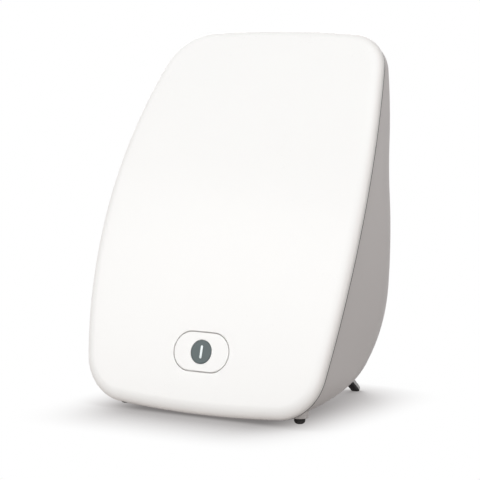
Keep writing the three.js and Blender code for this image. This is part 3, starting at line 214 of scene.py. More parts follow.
# The back wall
VENT_COUNT = 6
VENT_PITCH = 6.5
VENT_HALF = (32.0, 1.3)
VENT_HEIGHTS = (0.33 * CHORD, 0.775 * CHORD)
WELL_PLACE = 54.0
WELL_HEIGHTS = (0.27 * CHORD, 0.78 * CHORD)
WELL_RADIUS = 4.6
WELL_WALL = 2.0
WELL_FLOOR = 2.5
WELL_SUNK = 1.2
SCREW_HOLE_RADIUS = 2.3
PLATE_HALF = (35.0, 17.0)
PLATE_CORNER = 2.5
PLATE_THICKNESS = 0.6
PLATE_HEIGHT = 165.0
PLATE_SOFT = 0.1
RECESS_CHAMFER = 0.25
INLET_RADIUS = 4.0
INLET_HOLE_DEPTH = 6.0
INLET_FACE = -1.5
INLET_LENGTH = 17.0
INLET_FLANGE_RADIUS = 6.2
INLET_BORE_RADIUS = 2.75
INLET_BORE_DEPTH = 9.0
INLET_LEAD_IN = 0.5
INLET_PIN_RADIUS = 1.0
INLET_PIN_SUNK = 1.0
INLET_SOFT = 0.4
INLET_RIM_TURNS = (0.0, 0.5, 1.0, math.pi / 2)

# How finely the skins are drawn, and where rings lie, as shares of the way out from the middle
MERGE_DISTANCE = 0.001
SHARP_ANGLE = math.radians(32)
OUTLINE_STEPS = (12, 16, 46, 16, 12)
ROUND_STEPS = 14
PILL_STEPS = 24
VENT_STEPS = 8
BAR_STEPS = 16
CIRCLE_STEPS = 48
CORNER_STEPS = 5
LEG_CORNER_STEPS = 4
EDGE_STEPS = 4
KEY_EDGE_STEPS = 5
DOT_EDGE_STEPS = 3
KEY_TOP_LOOPS = 6
DOT_TOP_LOOPS = 5
FOOT_STEPS = 10
POCKET_STEPS = 12
LEG_STEPS = 9
LEG_TIP_STEPS = 9
CHORD_TRIES = 12
DOME_SHARES = np.linspace(0.04, 0.96, 14)
BACK_SHARES = 1 - np.linspace(0.04, 1.0, 20)[:-1] ** 1.15
TRIM_SHARES = np.linspace(0.2, 1.0, 6)


def centre_of(node):
    """The middle of a frame node's box, in metres."""
    low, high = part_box(node)
    return (Vector(low) + Vector(high)) / 2


# How far the frame lies behind the foot of the face's chord
SHIFT = centre_of("front_foot_left").y / MM - FOOT_SETBACK
FOOT_PLACE = centre_of("front_foot_right").x / MM
BARREL = centre_of("hinge_pin_left")
HINGE = np.array([0.0, BARREL.y / MM - SHIFT, BARREL.z / MM])
TIP_RADIUS = LEG_TIP[1] / 2
LEG_LENGTH = (HINGE[2] - TIP_RADIUS + SHOE_FLAT) / math.sin(STAND_SLOPE)


# Face geometry

def way(angle):
    """Steps of length 1 at angles from the first axis."""
    return np.stack([np.cos(angle), np.sin(angle)], axis=-1)


def bow_at(v):
    share = v / CHORD
    return FACE_BOW * 4 * share * (1 - share)


def face_point(u, v, drop):
    """Points behind the face by a drop: u across and v up its chord."""
    u, v, n = np.broadcast_arrays(np.asarray(u, float), v, bow_at(v) - drop)
    y = v * math.sin(TILT) - n * math.cos(TILT)
    z = LIFT + v * math.cos(TILT) + n * math.sin(TILT)
    return np.stack([u, y, z], axis=-1)


def arc_through(a, b, bow):
    chord = b - a
    half = np.linalg.norm(chord) / 2
    radius = (half * half + bow * bow) / (2 * bow)
    outward = np.array([chord[1], -chord[0]]) / (2 * half)
    return (a + b) / 2 + outward * (bow - radius), radius


def fillet_between(first, second, radius, corner):
    """The circle that touches two arcs from inside, near a corner."""
    (c1, r1), (c2, r2) = first, second
    r1, r2 = r1 - radius, r2 - radius
    across = c2 - c1
    distance = np.linalg.norm(across)
    along = (r1**2 - r2**2 + distance**2) / (2 * distance)
    aside = math.sqrt(r1**2 - along**2)
    foot = c1 + across * along / distance
    square = np.array([-across[1], across[0]]) / distance
    both = [foot + square * aside, foot - square * aside]
    return min(both, key=lambda p: np.linalg.norm(p - corner)), radius


def heading(from_arc, to_arc):
    away = to_arc[0] - from_arc[0]
    return math.atan2(away[1], away[0])


def face_outline():
    """The face's outline and its outward normals, from the bottom round the right side."""
    low, high = np.array([LOW_HALF, 0.0]), np.array([HIGH_HALF, CHORD])
    mirror = np.array([-1.0, 1.0])
    bottom = arc_through(low * mirror, low, LOW_BOW)
    side = arc_through(low, high, SIDE_BOW)
    top = arc_through(high, high * mirror, HIGH_BOW)
    low_round = fillet_between(bottom, side, CORNER, low)
    high_round = fillet_between(side, top, CORNER, high)
    arcs = [bottom, low_round, side, high_round, top]
    turns = [-math.pi / 2, heading(bottom, low_round), heading(side, low_round),
             heading(side, high_round), heading(top, high_round), math.pi / 2]
    points, normals = [], []
    for (centre, radius), start, end, steps in zip(arcs, turns, turns[1:], OUTLINE_STEPS):
        normal = way(start + (end - start) * np.arange(steps) / steps)
        points.append(centre + normal * radius)
        normals.append(normal)
    points.append(np.array([[0.0, CHORD + HIGH_BOW]]))
    normals.append(np.array([[0.0, 1.0]]))
    right, facing = np.concatenate(points), np.concatenate(normals)
    points = np.concatenate([right, (right[1:-1] * mirror)[::-1]])
    return points, np.concatenate([facing, (facing[1:-1] * mirror)[::-1]])


OUTLINE, OUTWARD = face_outline()


def ring(inset, drop, share=1.0):
    """A loop parallel to the outline, drawn in towards the face's middle by a share."""
    q = MIDDLE + share * (OUTLINE - OUTWARD * inset - MIDDLE)
    return face_point(q[:, 0], q[:, 1], drop)


# Mesh building

def quarter_turn(steps):
    return [math.pi / 2 * i / steps for i in range(steps + 1)]


def soft_edge(size, turns):
    """How far a softened edge is drawn in and how deep it lies, from the surface down."""
    return [(size * (1 - math.sin(a)), size * (1 - math.cos(a))) for a in turns]


def chamfered(chamfer, depth):
    """Outset and depth pairs of an opening with a chamfered edge."""
    return [(chamfer + OVERRUN, -OVERRUN), (chamfer, 0.0), (0.0, chamfer), (0.0, depth)]


def to_frame(points):
    return (np.asarray(points) + np.array([0.0, SHIFT, 0.0])) * MM


def neighbours(count):
    return [(i, (i + 1) % count) for i in range(count)]


def bands(starts, count):
    """Faces between loops of points, each loop numbered from its start."""
    return [(a + i, b + i, b + j, a + j) for a, b in zip(starts, starts[1:]) for i, j in neighbours(count)]


def skin(front, rings, back):
    """Vertices and faces of a closed skin over loops, from one end point to the other."""
    count = len(rings[0])
    vertices = np.concatenate([front[None], *rings, back[None]])
    starts = [1 + level * count for level in range(len(rings))]
    near = [(0, 1 + i, 1 + j) for i, j in neighbours(count)]
    far = [(len(vertices) - 1, starts[-1] + j, starts[-1] + i) for i, j in neighbours(count)]
    return vertices, near + bands(starts, count) + far


def capped(rings):
    return skin(rings[0].mean(axis=0), rings, rings[-1].mean(axis=0))


def hoop(rings):
    """Vertices and faces of a closed hoop whose section is a loop of rings."""
    count = len(rings[0])
    starts = [level * count for level in range(len(rings))]
    return np.concatenate(rings), bands([*starts, 0], count)


def mesh_of(name, vertices, faces):
    """A mesh in the frame's place, its faces turned outwards."""
    mesh = bpy.data.meshes.new(name)
    mesh.from_pydata(to_frame(vertices).tolist(), [], faces)
    sheet = bmesh.new()
    sheet.from_mesh(mesh)
    bmesh.ops.remove_doubles(sheet, verts=sheet.verts, dist=MM * MERGE_DISTANCE)
    bmesh.ops.recalc_face_normals(sheet, faces=sheet.faces)
    sheet.to_mesh(mesh)
    sheet.free()
    mesh.shade_smooth()
    return mesh


def linked(name, data):
    made = bpy.data.objects.new(name, data)
    bpy.context.scene.collection.objects.link(made)
    return made


def solid(name, *shapes):
    """An object of one or more closed shapes."""
    vertices, faces = [], []
    for points, loops in shapes:
        offset = sum(len(v) for v in vertices)
        vertices.append(points)
        faces += [tuple(offset + i for i in loop) for loop in loops]
    return linked(name, mesh_of(name, np.concatenate(vertices), faces))


def combine(piece, tool, operation):
    """Cuts, joins or crosses a piece with a tool, which is used up."""
    change = piece.modifiers.new(operation.lower(), "BOOLEAN")
    change.operation = operation
    change.solver = "EXACT"
    change.object = tool
    changed = piece.evaluated_get(bpy.context.evaluated_depsgraph_get())
    piece.data = bpy.data.meshes.new_from_object(changed)
    piece.modifiers.clear()
    bpy.data.objects.remove(tool)


def cut(piece, *shapes):
    combine(piece, solid("cutting_tool", *shapes), "DIFFERENCE")


def frame_rows(origin, x_axis, y_axis, z_axis):
    return np.array(origin, float), np.array([x_axis, y_axis, z_axis], float)


def in_place(place, points):
    """Points of a place, which is an origin and three axes, in the lamp's own millimetres."""
    origin, axes = place
    return origin + np.asarray(points) @ axes


def at_height(flat_points, height):
    return np.concatenate([flat_points, np.full((len(flat_points), 1), height)], axis=1)


def stacked(place, loops, start, end):
    """A closed skin over flat loops at their heights, between two ends of the axis."""
    rings = [in_place(place, at_height(points, height)) for points, height in loops]
    ends = in_place(place, [[0, 0, start], [0, 0, end]])
    return skin(ends[0], rings, ends[1])


def turned(place, profile):
    """A turned solid. Its profile's radius and height pairs start and end on the axis."""
    circle = way(2 * math.pi * np.arange(CIRCLE_STEPS) / CIRCLE_STEPS)
    loops = [(circle * radius, height) for radius, height in profile[1:-1]]
    return stacked(place, loops, profile[0][1], profile[-1][1])


def cylinder(place, radius, start, end):
    return turned(place, [(0, start), (radius, start), (radius, end), (0, end)])


def rounded(radius, height, size):
    """The points of a quarter-round edge on a turned profile, rising to a height."""
    return [(radius - size + size * math.cos(a), height - size + size * math.sin(a))
            for a in quarter_turn(EDGE_STEPS)]


def block(low, high):
    """The corners and faces of an upright block between two corners."""
    corners = [(a[0], b[1], c[2]) for a in (low, high) for b in (low, high) for c in (low, high)]
    faces = [(0, 1, 3, 2), (4, 6, 7, 5), (0, 4, 5, 1), (2, 3, 7, 6), (0, 2, 6, 4), (1, 5, 7, 3)]
    return np.array(corners), faces


def pill(half_length, half_width, steps=PILL_STEPS):
    """A pill's points and outward normals, its long side along the first axis."""
    straight = half_length - half_width
    cap = way(-math.pi / 2 + math.pi * np.arange(steps + 1) / steps)
    inner = np.linspace(straight, -straight, steps // 3 + 2)[1:-1]
    top = np.stack([inner, np.full(len(inner), half_width)], axis=-1)
    right = cap * half_width + [straight, 0]
    points = np.concatenate([right, top, -right, -top])
    up = np.tile([0.0, 1.0], (len(inner), 1))
    return points, np.concatenate([cap, up, -cap, -up])


def rounded_panel(half_width, half_height, corner, steps=CORNER_STEPS):
    """A rounded rectangle's points and outward normals."""
    centres = [(1, -1, -90), (1, 1, 0), (-1, 1, 90), (-1, -1, 180)]
    points, normals = [], []
    for x, y, start in centres:
        angles = np.radians(start + 90 * np.arange(steps + 1) / steps)
        normal = way(angles)
        centre = np.array([x * (half_width - corner), y * (half_height - corner)])
        points.append(centre + normal * corner)
        normals.append(normal)
    return np.concatenate(points), np.concatenate(normals)


def plug(place, section, levels):
    """A closed prism over a section: its levels are outset and height pairs."""
    points, normals = section
    loops = [(points + normals * outset, height) for outset, height in levels]
    return stacked(place, loops, levels[0][1], levels[-1][1])


# Materials

class Value:
    """A number in a shader. Python's operators add Math nodes to it."""

    def __init__(self, shader, socket):
        self.shader = shader
        self.socket = socket

    def math(self, operation, *values):
        node = self.shader.node("Math", {"operation": operation}, *values)
        return Value(self.shader, node.outputs[0])

    def __add__(self, other):
        return self.math("ADD", self, other)

    __radd__ = __add__

    def __sub__(self, other):
        return self.math("SUBTRACT", self, other)

    def __rsub__(self, other):
        return self.math("SUBTRACT", other, self)

    def __mul__(self, other):
        return self.math("MULTIPLY", self, other)

    __rmul__ = __mul__

    def __gt__(self, other):
        return self.math("GREATER_THAN", self, other)

    def __lt__(self, other):
        return self.math("LESS_THAN", self, other)

    def __mod__(self, other):
        return self.math("FLOORED_MODULO", self, other)

    def __abs__(self):
        return self.math("ABSOLUTE", self)

    def larger(self, other):
        return self.math("MAXIMUM", self, other)

    def between(self, low, high):
        """0 below low, 1 above high and smooth between."""
        settings = {"interpolation_type": "SMOOTHSTEP"}
        node = self.shader.node("MapRange", settings, self, low, high)
        return Value(self.shader, node.outputs[0])


class Nodes:
    """Adds nodes to a node tree and joins their sockets."""

    def __init__(self, tree):
        self.tree = tree

    def node(self, kind, settings, *values, **named):
        """Adds a node. Its settings are set first, then its sockets, in order or by name."""
        made = self.tree.nodes.new("ShaderNode" + kind)
        for label, setting in settings.items():
            setattr(made, label, setting)
        for socket, value in zip(made.inputs, values):
            self.join(socket, value)
        self.join_named(made, **named)
        return made

    def join_named(self, node, **named):
        for label, value in named.items():
            self.join(node.inputs[label.replace("_", " ")], value)

    def join(self, socket, value):
        source = value.socket if isinstance(value, Value) else value
        if isinstance(source, bpy.types.NodeSocket):
            self.tree.links.new(source, socket)
        elif source is not None:
            socket.default_value = source

    def seen(self):
        """1 where the camera, gloss or glass looks, and 0 for the light that bounces."""
        rays = self.node("LightPath", {}).outputs
        names = ("Is Camera Ray", "Is Glossy Ray", "Is Transmission Ray")
        camera, gloss, glass = [Value(self, rays[name]) for name in names]
        return camera.larger(gloss.larger(glass))


class Shader(Nodes):
    """A material built round one Principled BSDF."""

    def __init__(self, name, roughness, metallic=0.0, **plain):
        self.material = bpy.data.materials.new(name)
        self.material.use_nodes = True
        super().__init__(self.material.node_tree)
        self.surface = self.tree.nodes["Principled BSDF"]
        self.feed(Roughness=roughness, Metallic=metallic, **plain)

    def feed(self, **named):
        self.join_named(self.surface, **named)

    def place(self, kind="Object"):
        return self.node("TexCoord", {}).outputs[kind]

    def axes(self, kind="Object"):
        parts = self.node("SeparateXYZ", {}, self.place(kind)).outputs
        return [Value(self, part) for part in parts]

    def noise(self, size, detail=2.0, stretch=(1, 1, 1)):
        """Noise from 0 to 1 whose features are about a size in metres."""
        scaled = self.node("Mapping", {}, self.place(), Scale=[s / size for s in stretch])
        made = self.node("TexNoise", {}, Vector=scaled.outputs[0], Scale=1.0, Detail=detail)
        return Value(self, made.outputs[0])

    def mix(self, share, low, high):
        colours = [(*c, 1.0) if isinstance(c, tuple) else c for c in (low, high)]
        made = self.node("Mix", {"data_type": "RGBA"})
        for place, value in zip(MIX_INPUTS, (share, *colours)):
            self.join(made.inputs[place], value)
        return made.outputs[MIX_RESULT]

    def bump(self, height, depth):
        """Raises the surface by a height from 0 to 1, over a depth in metres."""
        made = self.node("Bump", {}, Strength=1.0, Distance=depth, Height=height)
        self.feed(Normal=made.outputs[0])


def shade(colour, factor):
    return tuple(min(1.0, part * factor) for part in colour)


def mottled(made, share, colour, mottle):
    return made.mix(share, shade(colour, 1 - mottle), shade(colour, 1 + mottle))


def rim_shade_mask(made):
    """0 on the cover's face and 1 where it curls round the rim, where it gets painted shade."""
    _, y, z = made.axes()
    back, up = y - SHIFT * MM, z - LIFT * MM
    along = back * math.sin(TILT) + up * math.cos(TILT)
    forward = up * math.sin(TILT) - back * math.cos(TILT)
    bow = along * (CHORD * MM - along) * (4 * FACE_BOW / (CHORD * CHORD * MM))
    return (bow - forward).between(RIM_SHADE_SPAN[0] * MM, RIM_SHADE_SPAN[1] * MM)


def moulded(name, colour, roughness, grain, depth, mottle=0.03, rim_shade_colour=None, **plain):
    """Moulded plastic: a fine grain, a faint cloudiness and uneven gloss, and a painted shade round the rim
    when a rim colour is given.
    """
    made = Shader(name, roughness, **plain)
    cloud = made.noise(CLOUD_SIZE)
    speck = made.noise(grain, detail=3.0)
    share = cloud * CLOUD_SHARE + speck * (1 - CLOUD_SHARE)
    tone = mottled(made, share, colour, mottle)
    # Painted shade: the darker rim white is mixed in where the cover curls round its edge
    if rim_shade_colour:
        tone = made.mix(rim_shade_mask(made), tone, mottled(made, share, rim_shade_colour, mottle))
    made.feed(Base_Color=tone,
              Roughness=roughness + (speck - 0.5) * SPECK_GLOSS + (cloud - 0.5) * CLOUD_GLOSS)
    made.bump(speck, depth)
    return made.material


def rubber(name, colour, bloom_size=0.006, grain=0.0007, depth=0.00012):
    """Rubber: matt, with a dusty bloom and a coarse skin."""
    made = Shader(name, 0.8, Specular_IOR_Level=0.35)
    bloom = made.noise(bloom_size, detail=4.0)
    made.feed(Base_Color=made.mix(bloom.between(0.35, 0.75), colour, shade(colour, 1.9)),
              Roughness=0.72 + bloom * 0.2)
    made.bump(made.noise(grain, detail=3.0), depth)
    return made.material


def brushed(name, colour, roughness, stretch, depth=0.00002, line_size=0.004, stain_size=0.01):
    """Metal with fine drawn lines and faint stains."""
    made = Shader(name, roughness, 1.0)
    lines = made.noise(line_size, detail=4.0, stretch=stretch)
    tint = lines * 0.5 + made.noise(stain_size) * 0.5
    made.feed(Base_Color=made.mix(tint, shade(colour, 0.86), shade(colour, 1.06)),
              Roughness=roughness + (lines - 0.5) * 0.25)
    made.bump(lines, depth)
    return made.material


def circuit_board(name, mask, copper, track_scale=160.0, track_width=0.035, pad_scale=260.0,
                  pad_reach=0.14):
    """A board: solder mask over a maze of tracks, with tinned pads."""
    made = Shader(name, 0.35, Coat_Roughness=0.25)
    tracks = made.node("TexBrick", {"offset": 0.5}, Vector=made.place(), Scale=track_scale,
                       Mortar_Size=track_width, Color1=(0, 0, 0, 1), Color2=(0.1, 0.1, 0.1, 1),
                       Mortar=(1, 1, 1, 1))
    track = Value(made, tracks.outputs["Fac"])
    pads = made.node("TexVoronoi", {"distance": "CHEBYCHEV"}, Vector=made.place(), Scale=pad_scale)
    pad = Value(made, pads.outputs["Distance"]) < pad_reach
    grain = made.noise(0.002)
    body = made.mix(track * 0.8 + grain * 0.2, mask, shade(mask, 1.7))
    made.feed(Base_Color=made.mix(pad, body, copper), Metallic=pad * 0.8,
              Roughness=0.35 + grain * 0.15, Coat_Weight=0.4 - pad * 0.4)
    made.bump(track * 0.5 + pad, 0.00008)
    return made.material


def light_board(name, phosphor, count=8, half_width=0.13, half_height=0.17):
    """A white strip with a phosphor square over each of its light-emitting diodes."""
    made = Shader(name, 0.4)
    across, _, up = made.axes("Generated")
    square = (abs((across * count) % 1 - 0.5) < half_width) * (abs(up - 0.5) < half_height)
    grain = made.noise(0.0015)
    white = made.mix(grain, (0.86, 0.85, 0.8), (0.94, 0.93, 0.89))
    made.feed(Base_Color=made.mix(square, white, phosphor), Roughness=0.3 + grain * 0.2 + square * 0.2)
    made.bump(grain + square, 0.00006)
    return made.material


def capacitor_sleeve(name, stripe_start=0.86, end_share=0.03):
    """A dark sleeve with a pale stripe down one side and a bare metal end."""
    made = Shader(name, 0.35)
    across, along, _ = made.axes("Generated")
    end = along < end_share
    grain = made.noise(0.0012)
    sleeve = made.mix(grain, (0.02, 0.022, 0.03), (0.05, 0.052, 0.065))
    striped = made.mix(across > stripe_start, sleeve, (0.55, 0.55, 0.53))
    made.feed(Base_Color=made.mix(end, striped, (0.75, 0.75, 0.76)), Metallic=end,
              Roughness=0.3 + grain * 0.15)
    made.bump(grain, 0.00003)
    return made.material


def copper_winding(name, turns=14, core_share=0.14):
    """Enamelled wire wound round a dark core."""
    made = Shader(name, 0.3, Coat_Weight=0.5)
    _, along, _ = made.axes("Generated")
    turn = abs((along * turns) % 1 - 0.5) * 2
    wound = (along > core_share) * (along < 1 - core_share)
    grain = made.noise(0.001)
    core = made.mix(grain, (0.03, 0.03, 0.03), (0.07, 0.07, 0.07))
    wire = made.mix(turn, (0.24, 0.07, 0.02), (0.6, 0.24, 0.08))
    made.feed(Base_Color=made.mix(wound, core, wire), Metallic=wound * 0.8, Roughness=0.28 + grain * 0.2)
    made.bump(turn * wound, 0.0003)
    return made.material


# A moulded finish gives its colour, roughness, the grain's size and depth, and how far its tone varies
FINISHES = {
    # The cover's second colour is painted shade round its rim
    "cover_plastic": moulded("opal cover", COVER_WHITE, 0.3, 0.0011, 0.000012, 0.008, RIM_PAINTED_SHADE,
                             Specular_IOR_Level=0.3, Coat_Weight=0.05, Coat_Roughness=0.1),
    "housing_plastic": moulded("satin housing", HOUSING_GREY, 0.5, 0.0006, 0.00004, 0.035,
                               Specular_IOR_Level=0.3),
    "inlay_plastic": moulded("key inlay", INLAY_GREY, 0.32, 0.0009, 0.00001, 0.06, Specular_IOR_Level=0.3),
    "window_plastic": moulded("key window", WINDOW_WHITE, 0.25, 0.0009, 0.00001, 0.01),
    "inner_plastic": moulded("inner white", (0.86, 0.86, 0.845), 0.55, 0.0012, 0.00003),
    "diffuser_plastic": moulded("diffuser", (0.9, 0.9, 0.885), 0.5, 0.0005, 0.00005, 0.015),
    "circuit_board": circuit_board("circuit board", (0.02, 0.12, 0.05), (0.8, 0.78, 0.72)),
    "light_board": light_board("light strip", (0.9, 0.72, 0.16)),
    "black_plastic": moulded("black plastic", (0.022, 0.022, 0.023), 0.42, 0.0007, 0.00004, 0.15),
    "rubber": rubber("foot rubber", RUBBER_BLACK),
    "stand_plastic": moulded("stand plastic", STAND_GREY, 0.35, 0.0006, 0.00003, 0.03),
    "plate_film": brushed("plate film", (0.62, 0.62, 0.61), 0.4, (30, 1, 1), 0.000008),
    "nylon": moulded("natural nylon", (0.8, 0.78, 0.7), 0.45, 0.001, 0.00003, 0.04),
    "wire_sleeve": moulded("wire sleeve", (0.03, 0.03, 0.032), 0.5, 0.0008, 0.00004, 0.2),
    "steel": brushed("zinc-plated steel", (0.62, 0.63, 0.64), 0.32, (1, 12, 1)),
    "aluminium_sheet": brushed("mill aluminium", (0.75, 0.755, 0.76), 0.36, (25, 1, 1)),
    "capacitor_can": capacitor_sleeve("capacitor sleeve"),
    "copper_coil": copper_winding("copper winding"),
}


def dress_frame():
    """Gives every node of the frame its finish, by its slot in the record."""
    for part in frame["record"]["subparts"]:
        node = frame["nodes"][part["node"]]
        node.data.materials.clear()
        node.data.materials.append(FINISHES[part["material_slot"]])


def hand_over(piece, body, slot, *nodes, sharp=True):
    """A finished piece rides on a body and stands for the frame's own nodes."""
    if sharp:
        piece.data.shade_smooth()
        piece.data.set_sharp_from_angle(angle=SHARP_ANGLE)
    piece.data.materials.clear()
    piece.data.materials.append(FINISHES[slot])
    for polygon in piece.data.polygons:
        polygon.material_index = 0
    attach(piece, body)
    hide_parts(*nodes)


# The white cover

def key_place():
    """The key's place on the face: across, up along the face and straight out of it."""
    slope = FACE_BOW * 4 / CHORD * (1 - 2 * KEY_HEIGHT / CHORD)
    up = np.array([0.0, math.sin(TILT), math.cos(TILT)])
    out = np.array([0.0, -math.cos(TILT), math.sin(TILT)])
    along = (up + out * slope) / math.hypot(1, slope)
    outward = (out - up * slope) / math.hypot(1, slope)
    return frame_rows(face_point(0, KEY_HEIGHT, 0), (1, 0, 0), along, outward)


KEY_PLACE = key_place()


def share_of(u, v):
    """How far a point of the face lies from its middle to the rim's inner edge, from 0 to 1."""
    edge = OUTLINE - OUTWARD * RIM_WIDTH - MIDDLE
    angles, reach = np.arctan2(edge[:, 1], edge[:, 0]), np.hypot(edge[:, 0], edge[:, 1])
    order = np.argsort(angles)
    across, up = u - MIDDLE[0], v - MIDDLE[1]
    limit = np.interp(np.arctan2(up, across), angles[order], reach[order], period=2 * math.pi)
    return np.hypot(across, up) / limit


def on_face(flat_points, depth):
    """Points over the key's plane, moved on to the cover's own surface and then in by a depth."""
    low = in_place(KEY_PLACE, at_height(flat_points, 0.0))
    n = low[:, 2] * math.sin(TILT) - low[:, 1] * math.cos(TILT) - LIFT * math.sin(TILT)
    v = low[:, 1] * math.sin(TILT) + (low[:, 2] - LIFT) * math.cos(TILT)
    surface = bow_at(v) - DOME * share_of(low[:, 0], v) ** 2
    return low + np.outer(surface - n - depth, KEY_PLACE[1][2])


def key_loop(outset, depth):
    points, normals = pill(*KEY_HALF)
    return on_face(points + normals * outset, depth)


def key_opening():
    levels = [(EDGE_SOFTENING + KEY_OPENING_FLARE, -KEY_OPENING_FLARE),
              *soft_edge(EDGE_SOFTENING, quarter_turn(EDGE_STEPS)), (0.0, KEY_OPENING_DEPTH)]
    return capped([key_loop(KEY_GAP + outset, depth) for outset, depth in levels])


def cover_shell():
    """The opal cover: a domed face, a rolled rim that curls in to the joint, and its inside."""
    quarter = quarter_turn(ROUND_STEPS)
    outside = [ring(RIM_WIDTH, DOME * s * s, s) for s in DOME_SHARES]
    rim = [ring(RIM_WIDTH * (1 - math.cos(a)), DOME + RIM_DEPTH * (1 - math.sin(a)))
           for a in reversed(quarter)]
    widest = DOME + RIM_DEPTH
    curl = [ring(COVER_CURL * (1 - math.cos(a)), widest + (COVER_DEPTH - widest) * math.sin(a))
            for a in quarter[2::2]]
    lip = [ring(RIM_CURL + COVER_WALL, COVER_DEPTH)]
    inner_rim = [ring(RIM_WIDTH - (RIM_WIDTH - COVER_WALL) * math.cos(a),
                      widest - (RIM_DEPTH - COVER_WALL) * math.sin(a)) for a in quarter[::2]]
    inside = [ring(RIM_WIDTH, DOME * s * s + COVER_WALL, s) for s in DOME_SHARES[::-1]]
    rings = [*outside, *rim, *curl, *lip, *inner_rim, *inside]
    made = solid("cover_shell", skin(face_point(*MIDDLE, 0.0), rings, face_point(*MIDDLE, COVER_WALL)))
    cut(made, key_opening())
    hand_over(made, "lamp", "cover_plastic", "front_cover")


# The grey housing

HOUSING_DROP = COVER_DEPTH + CLEARANCE


def depth_at(v, inside):
    """The housing's depth straight back from the joint, for its outside or a skin inside it."""
    seam = face_point(0.0, v, HOUSING_DROP)
    rise = np.clip((seam[..., 2] - BELLY_BASE - inside) / BELLY_HEIGHT, 0, 1)
    share = (1 - (1 - rise) ** BELLY_POWER) ** (1 / BELLY_POWER)
    foot = LIP_DEPTH - inside
    return foot + (BACK_PLANE - inside - seam[..., 1] - foot) * share


def smooth_least(a, b, blend):
    """The smaller of two values, with a soft change from one to the other."""
    h = np.clip(0.5 + 0.5 * (b - a) / blend, 0, 1)
    return b * (1 - h) + a * h - blend * h * (1 - h)


def housing_loops(inside):
    start = OUTLINE - OUTWARD * (RIM_CURL + inside)
    reach = np.sum((start - MIDDLE) * OUTWARD, axis=1)
    radius = smooth_least(EDGE_RADIUS, EDGE_SHARE * depth_at(start[:, 1], 0.0), EDGE_BLEND) - inside
    radius = np.maximum(radius, CLEARANCE)

    def loop(angle, share=1.0):
        drawn = 1 - (DRAFT + radius * (1 - math.cos(angle))) / reach
        q = MIDDLE + (start - MIDDLE) * (drawn * share)[:, None]
        depth = depth_at(q[:, 1], inside)
        held = np.minimum(radius, depth * SOFT_SHARE) * (1 - math.sin(angle)) if share == 1.0 else 0.0
        points = face_point(q[:, 0], q[:, 1], HOUSING_DROP)
        points[:, 1] += depth - held
        return points

    loops = [loop(a) for a in quarter_turn(ROUND_STEPS)] + [loop(math.pi / 2, s) for s in BACK_SHARES]
    middle = face_point(*MIDDLE, HOUSING_DROP) + [0, float(depth_at(MIDDLE[1], inside)), 0]
    return loops, middle


def housing_skin():
    outer, back = housing_loops(0.0)
    inner, inner_back = housing_loops(HOUSING_WALL)
    tongue = RIM_CURL + COVER_WALL + TONGUE_GAP
    lip = [(tongue + TONGUE_WALL, TONGUE_ROOT), (tongue + TONGUE_WALL, -TONGUE_RISE),
           (tongue, -TONGUE_RISE), (tongue, 0.0), (RIM_CURL + SEAM_GROOVE, 0.0),
           (RIM_CURL + SEAM_GROOVE, SEAM_GROOVE), (RIM_CURL + SEAM_ROUND, SEAM_GROOVE),
           (RIM_CURL + DRAFT, SEAM_GROOVE + SEAM_ROUND)]
    joint = [ring(inset, HOUSING_DROP + drop) for inset, drop in lip]
    return skin(inner_back, [*reversed(inner[1:]), *joint, *outer], back)


def housing_block():
    """The housing's outer form as one solid, which trims what is added inside it."""
    outer, back = housing_loops(0.0)
    front = [ring(RIM_CURL, HOUSING_DROP, s) for s in TRIM_SHARES]
    return solid("housing_block_tool", skin(face_point(*MIDDLE, HOUSING_DROP), [*front, *outer], back))


def back_place(x, z):
    """A place on the back wall, its third axis pointing forward into the housing."""
    return frame_rows((x, BACK_PLANE, z), (1, 0, 0), (0, 0, 1), (0, -1, 0))


def chord_at(z, drop):
    """How far up the chord a surface at a drop behind the face has a given height."""
    v = 0.0
    for _ in range(CHORD_TRIES):
        v = (z - LIFT - (bow_at(v) - drop) * math.sin(TILT)) / math.cos(TILT)
    return v


def well_floor(z):
    """How far forward of the back wall a screw well's floor lies."""
    v = chord_at(z, TRAY_BACK)
    boss_end = face_point(0.0, v, TRAY_BACK)[1] + TRAY_BOSS_LENGTH
    return BACK_PLANE - boss_end - CLEARANCE


def screw_wells():
    """The tubes that the housing's screws sink into, and their bores."""
    tubes, bores = [], []
    for z in WELL_HEIGHTS:
        front = well_floor(z)
        well = [(WELL_RADIUS + outset, height) for outset, height in chamfered(CHAMFER, front - WELL_FLOOR)]
        profile = [(0, -OVERRUN), *well, (SCREW_HOLE_RADIUS, front - WELL_FLOOR),
                   (SCREW_HOLE_RADIUS, front + OVERRUN), (0, front + OVERRUN)]
        for side in (-1, 1):
            place = back_place(side * WELL_PLACE, z)
            tubes.append(cylinder(place, WELL_RADIUS + WELL_WALL, WELL_SUNK, front))
            bores.append(turned(place, profile))
    return tubes, bores


def vents():
    levels = chamfered(CHAMFER, HOUSING_WALL + OVERRUN)
    section = pill(*VENT_HALF, VENT_STEPS)
    places = [back_place(0, middle + (i - (VENT_COUNT - 1) / 2) * VENT_PITCH)
              for middle in VENT_HEIGHTS for i in range(VENT_COUNT)]
    return [plug(place, section, levels) for place in places]


def plate_recess():
    levels = [(CLEARANCE + outset, depth)
              for outset, depth in chamfered(RECESS_CHAMFER, PLATE_THICKNESS + CLEARANCE)]
    return plug(back_place(0, PLATE_HEIGHT), rounded_panel(*PLATE_HALF, PLATE_CORNER), levels)


def inlet_place():
    nut = centre_of("dc_inlet_nut") / MM
    return back_place(nut.x, nut.z)


def side_place(origin=(0, 0, 0)):
    """A place in side view: back, up and across."""
    return frame_rows(origin, (0, 1, 0), (0, 0, 1), (1, 0, 0))


